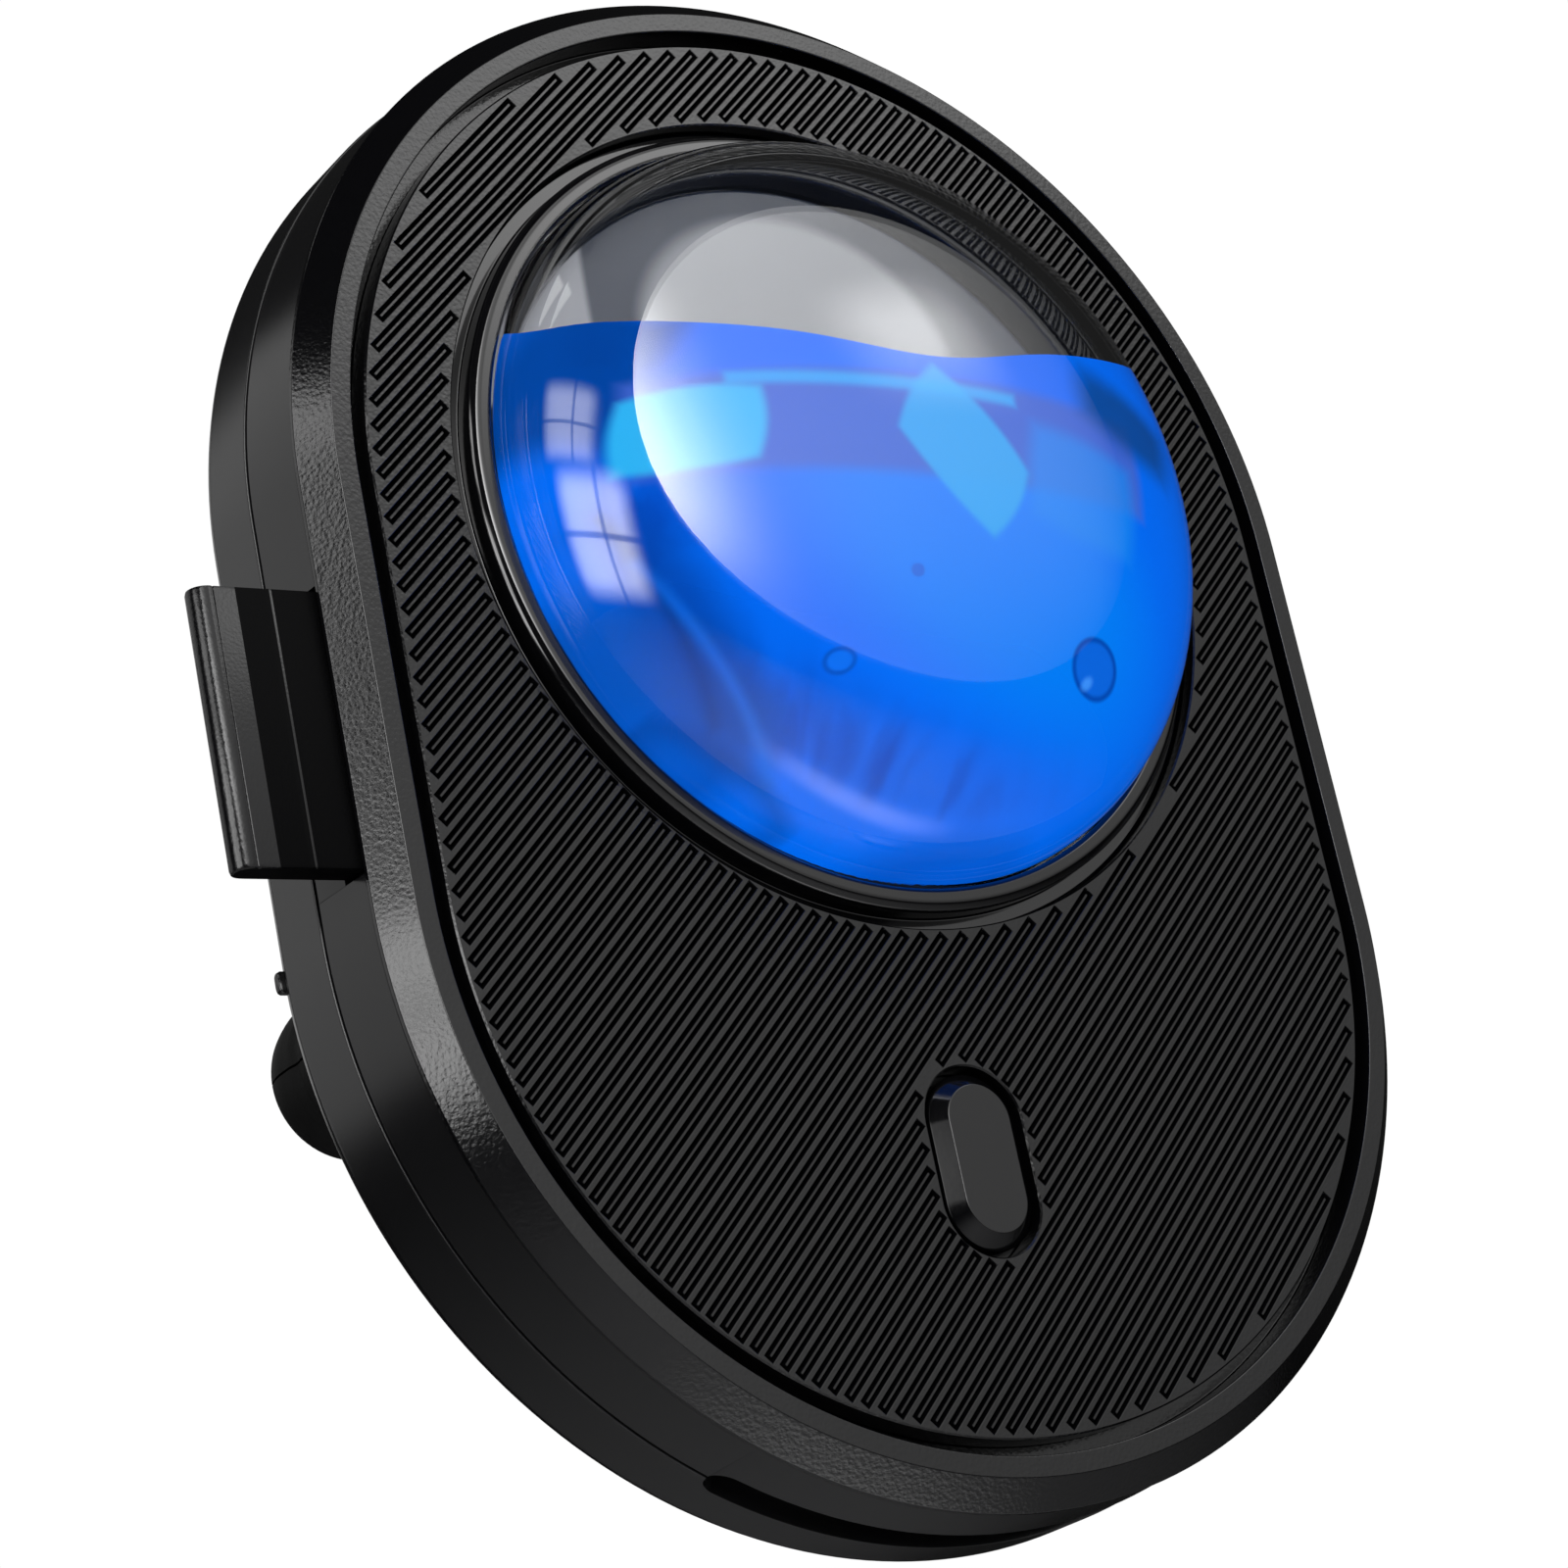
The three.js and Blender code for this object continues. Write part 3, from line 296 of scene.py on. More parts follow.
def loops_shell(loops: Sequence[Array], depths: Sequence[float]) -> Shell:
    """A wall through matching loops, each at its own depth."""
    points = np.stack([np.stack([l[:, 0], np.full(len(l), d), l[:, 1]], -1) for l, d in zip(loops, depths)])
    return grid_shell(points, False, True)


def face_shell(outer: Array, holes: Sequence[Array], depth: float, front: bool) -> Shell:
    """A flat face inside one loop and outside others, as a constrained Delaunay triangulation.

    Args:
        outer: the boundary loop.
        holes: loops left open in the face.
        depth: where the face lies.
        front: the face looks forwards, towards lower depth.

    Returns:
        The face's triangles.
    """
    loops = [outer, *holes]
    flat = np.concatenate(loops)
    starts = np.cumsum([0] + [len(l) for l in loops])
    rings = [list(range(a, b)) for a, b in zip(starts[:-1], starts[1:])]
    where, _, faces, _, _, owners = delaunay_2d_cdt([Vector(p) for p in flat], [], rings, 1, 1e-7, True)
    ours = [f for f, own in zip(faces, owners) if own == [0]]
    triangles = np.array(ours, int)
    place = np.array(where, float)
    a, b, c = (place[triangles[:, k]] for k in range(3))
    ccw = (b[:, 0] - a[:, 0]) * (c[:, 1] - a[:, 1]) - (b[:, 1] - a[:, 1]) * (c[:, 0] - a[:, 0]) > 0
    wrong = ccw != front
    triangles[wrong] = triangles[wrong][:, ::-1]
    points = np.stack([place[:, 0], np.full(len(place), depth), place[:, 1]], -1)
    return Shell(points, triangles.reshape(-1), np.full(len(triangles), 3), np.zeros(len(triangles), int))


def towards(shell: Shell, inward: bool, centre: Array) -> Shell:
    """A wall whose faces look towards its middle (x, z), or away from it."""
    starts = np.cumsum(shell.sizes) - shell.sizes
    a, b, c = (shell.points[shell.loops[starts + k]] for k in range(3))
    normal = np.cross(b - a, c - a)
    away = (a + c) / 2 - np.array([centre[0], 0, centre[1]])
    away[:, 1] = 0
    outward = np.einsum("ij,ij->i", normal, away).sum() > 0
    if outward == inward:
        shell.loops = shell.loops.reshape(-1, 4)[:, ::-1].reshape(-1)
    return shell


# ---------------------------------------------------------------- making objects


def make_piece(name: str, shell: Shell, finishes: Sequence["Finish"], smooth: bool = True) -> Piece:
    """A mesh object at the origin, in metres, with seams and poles merged.

    Args:
        name: the piece's name.
        shell: its surface, in millimetres from the lip plane.
        finishes: materials, in the order of the shell's tags.
        smooth: shade the faces smoothly where they meet at less than SHARP_DEG.

    Returns:
        The object.
    """
    mesh = bpy.data.meshes.new(name)
    place = shell.points * MM
    place[:, 1] += LIP_PLANE * MM
    mesh.vertices.add(len(place))
    mesh.vertices.foreach_set("co", place.astype(np.float32).reshape(-1))
    mesh.loops.add(len(shell.loops))
    mesh.loops.foreach_set("vertex_index", shell.loops.astype(np.int32))
    mesh.polygons.add(len(shell.sizes))
    mesh.polygons.foreach_set("loop_start", (np.cumsum(shell.sizes) - shell.sizes).astype(np.int32))
    mesh.polygons.foreach_set("material_index", shell.tags.astype(np.int32))
    mesh.update(calc_edges=True)
    work = bmesh.new()
    work.from_mesh(mesh)
    bmesh.ops.remove_doubles(work, verts=work.verts, dist=2e-7)
    bmesh.ops.dissolve_degenerate(work, dist=1e-8, edges=work.edges)
    work.to_mesh(mesh)
    work.free()
    mesh.polygons.foreach_set("use_smooth", np.full(len(mesh.polygons), smooth))
    if smooth:
        mesh.set_sharp_from_angle(angle=np.radians(SHARP_DEG))
    mesh.update()
    piece = bpy.data.objects.new(name, mesh)
    bpy.context.scene.collection.objects.link(piece)
    for finish in finishes:
        mesh.materials.append(finish.material())
    LOG.info("%s: %d faces", name, len(mesh.polygons))
    return piece


def install(piece: Piece, body: str, nodes: Sequence[str]) -> Piece:
    """Puts a piece on its body, in place of its nodes."""
    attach(piece, body)
    if nodes:
        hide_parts(*nodes)
    return piece


# ---------------------------------------------------------------- finishes


class Grain(Enum):
    """How a surface's fine relief is laid out."""

    FINE = "fine"
    COARSE = "coarse"


class Nodes:
    """Short calls for building a shader node tree."""

    def __init__(self, tree: Tree) -> None:
        """Starts with an empty tree."""
        self.tree = tree
        tree.nodes.clear()

    def add(self, kind: str, links: dict | None = None, **settings) -> Node:
        """A node of a kind, its settings, and its inputs from sockets or values."""
        node = self.tree.nodes.new(kind)
        for key, value in settings.items():
            setattr(node, key, value)
        for key, value in (links or {}).items():
            if isinstance(value, Socket):
                self.tree.links.new(value, node.inputs[key])
            else:
                node.inputs[key].default_value = value
        return node

    def maths(self, operation: str, a, b=0.0, c=0.0, clamp: bool = False) -> Socket:
        """One Math node on up to three values."""
        return self.add(
            "ShaderNodeMath", {0: a, 1: b, 2: c}, operation=operation, use_clamp=clamp
        ).outputs[0]

    def give(self, out: Node, **values: Socket) -> Tree:
        """Links values to a group's outputs by name, and returns the group."""
        for key, value in values.items():
            self.tree.links.new(value, out.inputs[key])
        return self.tree

    def plus(self, a, b) -> Socket:
        """The sum of two values."""
        return self.maths("ADD", a, b)

    def minus(self, a, b) -> Socket:
        """The first value less the second."""
        return self.maths("SUBTRACT", a, b)

    def times(self, a, b, clamp: bool = False) -> Socket:
        """The product of two values."""
        return self.maths("MULTIPLY", a, b, clamp=clamp)

    def blend(self, mask, low: Colour, high: Colour | Socket) -> Socket:
        """A colour between two, by a mask."""
        low = (*low, 1.0) if isinstance(low, tuple) else low
        high = (*high, 1.0) if isinstance(high, tuple) else high
        return self.add("ShaderNodeMix", {0: mask, 6: low, 7: high}, data_type="RGBA").outputs[2]

    def between(self, value, low: float, high: float, out_low: float, out_high: float) -> Socket:
        """A smooth change of a value from one range to another."""
        links = {0: value, 1: low, 2: high, 3: out_low, 4: out_high}
        return self.add("ShaderNodeMapRange", links, interpolation_type="SMOOTHSTEP").outputs[0]


def group_tree(name: str, inputs: dict[str, float], outputs: Sequence[str]) -> tuple[Nodes, Node, Node]:
    """A new shader node group with named inputs and outputs.

    Args:
        name: the group's name.
        inputs: float inputs and their defaults; Place is added first, as a vector.
        outputs: names of the float outputs.

    Returns:
        The tree's node builder, its group input and its group output.
    """
    tree = bpy.data.node_groups.new(name, "ShaderNodeTree")
    tree.interface.new_socket("Place", in_out="INPUT", socket_type="NodeSocketVector")
    for key, value in inputs.items():
        tree.interface.new_socket(key, in_out="INPUT", socket_type="NodeSocketFloat").default_value = value
    for key in outputs:
        tree.interface.new_socket(key, in_out="OUTPUT", socket_type="NodeSocketFloat")
    nodes = Nodes(tree)
    return nodes, nodes.add("NodeGroupInput"), nodes.add("NodeGroupOutput")


class Effects:
    """The shader node groups that several finishes share, each built once."""

    @staticmethod
    @cache
    def mould_grain() -> Tree:
        """Spark-eroded mould texture: small rounded cells over finer noise, as a height."""
        n, inside, out = group_tree("mould_grain", {"Scale": 2500.0, "Coarse": 0.5}, ("Height", "Tone"))
        place, scale = inside.outputs["Place"], inside.outputs["Scale"]
        cells = n.add("ShaderNodeTexVoronoi", {"Vector": place, "Scale": scale}, feature="SMOOTH_F1")
        fine = n.add("ShaderNodeTexNoise", {"Vector": place, "Scale": n.times(scale, 2.3), "Detail": 2.0})
        rounded = n.times(cells.outputs["Distance"], inside.outputs["Coarse"])
        height = n.plus(rounded, n.times(fine.outputs["Fac"], 0.5))
        return n.give(out, Height=height, Tone=fine.outputs["Fac"])

    @staticmethod
    @cache
    def tone_drift() -> Tree:
        """Slow unevenness of colour and gloss over a part, from flow in the mould and handling."""
        n, inside, out = group_tree("tone_drift", {"Scale": 60.0, "Amount": 0.1}, ("Tone", "Smear"))
        place = inside.outputs["Place"]
        slow = n.add(
            "ShaderNodeTexNoise", {"Vector": place, "Scale": inside.outputs["Scale"], "Detail": 3.0}
        )
        quick = n.add(
            "ShaderNodeTexNoise",
            {
                "Vector": place, "Scale": n.times(inside.outputs["Scale"], 9.0), "Detail": 4.0,
                "Roughness": 0.7,
            },
        )
        tone = n.maths("MULTIPLY_ADD", n.minus(slow.outputs["Fac"], 0.5), inside.outputs["Amount"], 0.5)
        smear = n.between(quick.outputs["Fac"], 0.45, 0.75, 0.0, 1.0)
        return n.give(out, Tone=tone, Smear=n.times(smear, inside.outputs["Amount"]))

    @staticmethod
    @cache
    def hairlines() -> Tree:
        """Faint straight polishing or turning lines, long one way and fine the other."""
        n, inside, out = group_tree("hairlines", {"Fine": 9000.0, "Long": 300.0}, ("Height",))
        size = n.add(
            "ShaderNodeCombineXYZ",
            {0: inside.outputs["Fine"], 1: inside.outputs["Long"], 2: inside.outputs["Fine"]},
        )
        spread = n.add(
            "ShaderNodeVectorMath", {0: inside.outputs["Place"], 1: size.outputs[0]}, operation="MULTIPLY"
        )
        lines = n.add("ShaderNodeTexNoise", {"Vector": spread.outputs[0], "Scale": 1.0, "Detail": 3.0})
        return n.give(out, Height=lines.outputs["Fac"])

    @staticmethod
    @cache
    def soft_patch() -> Tree:
        """A mask that is 1 inside a turned rectangle or ellipse on the dome's face and fades beyond it.

        With u and v the distances from the middle along the shape's own axes, the mask falls from
        1 to 0 while the distance outside rises by Soft. That distance is the larger of
        |u| - half width and |v| - half height, or for Round 1 the one to the ellipse.
        """
        inputs = {
            "X": 0.0, "Z": 0.0, "Turn": 0.0, "Half width": 0.002, "Half height": 0.002, "Soft": 0.0005,
            "Skew": 0.0, "Round": 0.0,
        }
        n, inside, out = group_tree("soft_patch", inputs, ("Mask",))
        socket = inside.outputs
        apart = n.add("ShaderNodeSeparateXYZ", {0: socket["Place"]})
        x = n.minus(apart.outputs[0], socket["X"])
        z = n.minus(apart.outputs[2], socket["Z"])
        cos, sin = n.maths("COSINE", socket["Turn"]), n.maths("SINE", socket["Turn"])
        u = n.plus(n.times(x, cos), n.times(z, sin))
        v = n.minus(n.times(z, cos), n.times(x, sin))
        u = n.plus(u, n.times(v, socket["Skew"]))
        over_u = n.minus(n.maths("ABSOLUTE", u), socket["Half width"])
        over_v = n.minus(n.maths("ABSOLUTE", v), socket["Half height"])
        square = n.maths("MAXIMUM", over_u, over_v)
        ratio_u = n.maths("POWER", n.maths("ABSOLUTE", n.maths("DIVIDE", u, socket["Half width"])), 2.0)
        ratio_v = n.maths("POWER", n.maths("ABSOLUTE", n.maths("DIVIDE", v, socket["Half height"])), 2.0)
        reach = n.minus(n.maths("SQRT", n.plus(ratio_u, ratio_v)), 1.0)
        ellipse = n.times(reach, n.maths("MINIMUM", socket["Half width"], socket["Half height"]))
        shape = n.plus(square, n.times(n.minus(ellipse, square), socket["Round"]))
        over = n.maths("DIVIDE", shape, socket["Soft"])
        return n.give(out, Mask=n.between(over, -1.0, 1.0, 1.0, 0.0))


@dataclass(frozen=True)
class Finish:
    """A surface finish: its slot name, base colour and roughness, and how it is built."""

    name: str
    colour: Colour = (0.01, 0.01, 0.011)
    rough: float = 0.4

    def material(self) -> bpy.types.Material:
        """The finish's material, built the first time it is asked for."""
        title = f"{self.name}_finish"
        known = bpy.data.materials.get(title)
        if known is not None:
            return known
        made = bpy.data.materials.new(title)
        made.use_nodes = True
        nodes = Nodes(made.node_tree)
        shader = nodes.add("ShaderNodeBsdfPrincipled")
        out = nodes.add("ShaderNodeOutputMaterial")
        made.node_tree.links.new(shader.outputs[0], out.inputs["Surface"])
        place = nodes.add("ShaderNodeTexCoord").outputs["Object"]
        self.dress(nodes, shader, place)
        return made

    def dress(self, n: Nodes, shader: Node, place: Socket) -> None:
        """Sets the shader up; each kind of finish has its own."""
        raise NotImplementedError

    @staticmethod
    def effect(n: Nodes, tree: Tree, links: dict) -> Node:
        """A shared effect placed in this material with its own values."""
        return n.add("ShaderNodeGroup", links, node_tree=tree)

    @staticmethod
    def relief(n: Nodes, shader: Node, height: Socket, distance: float, strength: float = 1.0) -> None:
        """A bump from a height, in metres of relief."""
        bump = n.add("ShaderNodeBump", {"Height": height, "Distance": distance, "Strength": strength})
        n.tree.links.new(bump.outputs[0], shader.inputs["Normal"])

    @staticmethod
    def feed(n: Nodes, shader: Node, socket: str, value: Socket) -> None:
        """Links a value to one of the shader's sockets."""
        n.tree.links.new(value, shader.inputs[socket])


@dataclass(frozen=True)
class Plastic(Finish):
    """Moulded plastic: spark-eroded grain, uneven tone and faint handling smears."""

    grain: Grain = Grain.FINE
    grain_size: float = 3200.0
    grain_height: float = 0.00001
    drift: float = 0.3
    specular: float = 0.5
    coat: float = 0.0

    def dress(self, n: Nodes, shader: Node, place: Socket) -> None:
        """Grain in the normal and colour, drift in colour and roughness."""
        coarse = 1.0 if self.grain is Grain.COARSE else 0.5
        grain = self.effect(
            n, Effects.mould_grain(), {"Place": place, "Scale": self.grain_size, "Coarse": coarse}
        )
        drift = self.effect(n, Effects.tone_drift(), {"Place": place, "Amount": self.drift})
        tone = n.plus(drift.outputs["Tone"], n.times(grain.outputs["Tone"], 0.3))
        low = tuple(c * 0.55 for c in self.colour)
        high = tuple(c * 1.5 for c in self.colour)
        self.feed(n, shader, "Base Color", n.blend(tone, low, high))
        rough = n.maths("MULTIPLY_ADD", drift.outputs["Smear"], 0.05, self.rough)
        rough = n.maths("MULTIPLY_ADD", n.minus(grain.outputs["Tone"], 0.5), 0.12, rough)
        self.feed(n, shader, "Roughness", rough)
        shader.inputs["Specular IOR Level"].default_value = self.specular
        shader.inputs["Coat Weight"].default_value = self.coat
        shader.inputs["Coat Roughness"].default_value = 0.06
        self.relief(n, shader, grain.outputs["Height"], self.grain_height)


@dataclass(frozen=True)
class Metal(Finish):
    """Bare or plated metal with fine working lines."""

    lines: float = 0.000002

    def dress(self, n: Nodes, shader: Node, place: Socket) -> None:
        """Hairlines in the normal and the roughness, drift in the colour."""
        hair = self.effect(n, Effects.hairlines(), {"Place": place})
        drift = self.effect(n, Effects.tone_drift(), {"Place": place, "Scale": 200.0, "Amount": 0.6})
        low = tuple(c * 0.8 for c in self.colour)
        self.feed(n, shader, "Base Color", n.blend(drift.outputs["Tone"], low, self.colour))
        self.feed(
            n, shader, "Roughness", n.maths("MULTIPLY_ADD", hair.outputs["Height"], 0.2, self.rough - 0.1)
        )
        shader.inputs["Metallic"].default_value = 1.0
        self.relief(n, shader, hair.outputs["Height"], self.lines)


@dataclass(frozen=True)
class Glass(Finish):
    """Clear moulded lens or tinted window."""

    ior: float = 1.47

    def dress(self, n: Nodes, shader: Node, place: Socket) -> None:
        """Plain transmission, with a very slight waviness and haze over the surface."""
        drift = self.effect(n, Effects.tone_drift(), {"Place": place, "Scale": 70.0, "Amount": 0.2})
        low = tuple(c * 0.97 for c in self.colour)
        self.feed(n, shader, "Base Color", n.blend(drift.outputs["Tone"], low, self.colour))
        self.feed(n, shader, "Roughness", n.times(drift.outputs["Smear"], self.rough))
        shader.inputs["Transmission Weight"].default_value = 1.0
        shader.inputs["IOR"].default_value = self.ior
        self.relief(n, shader, drift.outputs["Tone"], 0.00002, 0.25)


@dataclass(frozen=True)
class Patch:
    """A patch of painted light or shade on the liquid or the dish: its middle, turn, half sizes, softness and
    colour.
    """

    x: float
    z: float
    turn: float
    half_width: float
    half_height: float
    soft: float
    colour: Colour
    strength: float = 1.0
    skew: float = 0.0
    rounded: float = 0.0

    def mask(self, n: Nodes, place: Socket) -> Socket:
        """The shape's mask, times its strength."""
        links = {
            "Place": place, "X": self.x * MM, "Z": self.z * MM, "Turn": np.radians(self.turn),
            "Half width": self.half_width * MM, "Half height": self.half_height * MM,
            "Soft": self.soft * MM, "Skew": self.skew, "Round": self.rounded,
        }
        return n.times(Finish.effect(n, Effects.soft_patch(), links).outputs["Mask"], self.strength)


@dataclass(frozen=True)
class Liquid(Finish):
    """Bright blue liquid painted as a glow: emission in place of its lit, refracted colour, with painted
    shade and painted patches of light and shade on it.
    """

    # deep is the colour of the painted shade, body that of the painted glow.
    deep: Colour = (0.0006, 0.07, 0.52)
    body: Colour = (0.0004, 0.148, 0.9)
    dome_z: float = 0.013
    light_and_shade: tuple[Patch, ...] = ()

    def dress(self, n: Nodes, shader: Node, place: Socket) -> None:
        """Painted glow in place of lit colour, with a band of painted shade inside the rim and on the left,
        broken by slow shade streaks, then each patch of painted light or shade in turn.
        """
        apart = n.add("ShaderNodeSeparateXYZ", {0: place})
        x = apart.outputs[0]
        z = n.minus(apart.outputs[2], self.dome_z)
        reach = n.maths("SQRT", n.plus(n.times(x, x), n.times(z, z)))
        stretched = n.add(
            "ShaderNodeMapping",
            {"Vector": place, "Rotation": (0.0, 0.7, 0.0), "Scale": (160.0, 60.0, 60.0)},
        )
        shade_streaks = n.add(
            "ShaderNodeTexNoise",
            {"Vector": stretched.outputs[0], "Scale": 1.0, "Detail": 3.0, "Distortion": 1.4},
        )
        # Painted shade: a darker band inside the rim, strongest on the left, broken into streaks by noise;
        # the rim itself stays bright.
        ring = n.between(reach, 0.0165, 0.0215, 0.0, 1.0)
        rim = n.between(reach, 0.0216, 0.0232, 1.0, 0.0)
        left = n.between(n.plus(x, n.times(z, 0.55)), -0.016, 0.002, 1.0, 0.0)
        shade = n.times(n.times(ring, rim), left)
        shade = n.times(shade, n.between(shade_streaks.outputs["Fac"], 0.3, 0.62, 1.25, 0.35), clamp=True)
        colour = n.blend(shade, self.body, self.deep)
        for patch in self.light_and_shade:
            colour = n.blend(patch.mask(n, place), colour, patch.colour)
        # Painted light: the liquid glows though it is no lamp, its emission standing in for its lit colour.
        self.feed(n, shader, "Emission Color", colour)
        shader.inputs["Emission Strength"].default_value = 1.0
        drift = self.effect(n, Effects.tone_drift(), {"Place": place, "Amount": 0.2})
        self.feed(n, shader, "Base Color", n.blend(drift.outputs["Tone"], (0.0, 0.004, 0.05), self.colour))
        shader.inputs["Roughness"].default_value = self.rough
        shader.inputs["IOR"].default_value = 1.33
        shader.inputs["Specular IOR Level"].default_value = 0.25


@dataclass(frozen=True)
class Rubber(Finish):
    """Matt moulded rubber with a dusty bloom."""

    def dress(self, n: Nodes, shader: Node, place: Socket) -> None:
        """Fine grain, and a paler bloom in slow patches."""
        grain = self.effect(n, Effects.mould_grain(), {"Place": place, "Scale": 5200.0, "Coarse": 0.8})
        drift = self.effect(n, Effects.tone_drift(), {"Place": place, "Scale": 120.0, "Amount": 0.8})
        bloom = tuple(c * 2.0 for c in self.colour)
        shader.inputs["Specular IOR Level"].default_value = 0.1
        self.feed(n, shader, "Base Color", n.blend(drift.outputs["Smear"], self.colour, bloom))
        self.feed(
            n, shader, "Roughness", n.maths("MULTIPLY_ADD", grain.outputs["Tone"], 0.2, self.rough - 0.1)
        )
        self.relief(n, shader, grain.outputs["Height"], 0.000012)


@dataclass(frozen=True)
class Cloth(Finish):
    """Acoustic mesh: a square weave of round threads."""

    pitch: float = 0.0004

    def dress(self, n: Nodes, shader: Node, place: Socket) -> None:
        """Threads as the product of two waves, with painted shade between them."""
        apart = n.add("ShaderNodeSeparateXYZ", {0: place})
        across = n.maths("SINE", n.times(apart.outputs[0], 2 * np.pi / self.pitch))
        along = n.maths("SINE", n.times(apart.outputs[1], 2 * np.pi / self.pitch))
        weave = n.maths("ABSOLUTE", n.times(across, along))
        # Painted shade: the gaps between the threads are darkened.
        dark = tuple(c * 0.2 for c in self.colour)
        self.feed(n, shader, "Base Color", n.blend(weave, self.colour, dark))
        shader.inputs["Roughness"].default_value = self.rough
        self.relief(n, shader, n.minus(1.0, weave), 0.00006)


@dataclass(frozen=True)
class Board(Finish):
    """Circuit board: green mask over a pattern of tracks."""

    def dress(self, n: Nodes, shader: Node, place: Socket) -> None:
        """Tracks as the edges of square cells, lighter and raised."""
        cells = n.add(
            "ShaderNodeTexVoronoi", {"Vector": place, "Scale": 420.0, "Randomness": 0.8},
            distance="CHEBYCHEV",
        )
        track = n.between(cells.outputs["Distance"], 0.42, 0.5, 0.0, 1.0)
        light = tuple(c * 2.4 for c in self.colour)
        self.feed(n, shader, "Base Color", n.blend(track, self.colour, light))
        self.feed(n, shader, "Roughness", n.maths("MULTIPLY_ADD", track, -0.12, self.rough))
        self.relief(n, shader, track, 0.00003)


@dataclass(frozen=True)
class Lit(Finish):
    """Milky diffuser or a light emitter's body: soft, pale, faintly glowing."""

    glow: float = 0.2

    def dress(self, n: Nodes, shader: Node, place: Socket) -> None:
        """Cloudy colour, and a weak glow of the same colour."""
        drift = self.effect(n, Effects.tone_drift(), {"Place": place, "Scale": 150.0, "Amount": 0.8})
        low = tuple(c * 0.85 for c in self.colour)
        cloud = n.blend(drift.outputs["Tone"], low, self.colour)
        self.feed(n, shader, "Base Color", cloud)
        self.feed(n, shader, "Emission Color", cloud)
        shader.inputs["Emission Strength"].default_value = self.glow
        self.feed(n, shader, "Roughness", n.maths("MULTIPLY_ADD", drift.outputs["Smear"], 0.1, self.rough))


@dataclass(frozen=True)
class Smoked(Finish):
    """Smoked dish behind the air space, with painted light on it: a faint glow all over, pale patches of
    painted light and a dark patch of painted shade.
    """

    light_and_shade: tuple[Patch, ...] = ()

    def dress(self, n: Nodes, shader: Node, place: Socket) -> None:
        """Dark body, a faint painted glow, and each patch of painted light or shade blended into the glow."""
        drift = self.effect(n, Effects.tone_drift(), {"Place": place, "Scale": 90.0, "Amount": 0.5})
        light = tuple(c * 2.0 for c in self.colour)
        self.feed(n, shader, "Base Color", n.blend(drift.outputs["Tone"], self.colour, light))
        self.feed(n, shader, "Roughness", n.maths("MULTIPLY_ADD", drift.outputs["Smear"], 0.2, self.rough))
        # Painted light: the dish glows faintly though it is no lamp.
        glow = n.blend(drift.outputs["Tone"], (0.004, 0.007, 0.016), (0.008, 0.012, 0.024))
        for patch in self.light_and_shade:
            glow = n.blend(patch.mask(n, place), glow, patch.colour)
        self.feed(n, shader, "Emission Color", glow)
        shader.inputs["Emission Strength"].default_value = 1.0


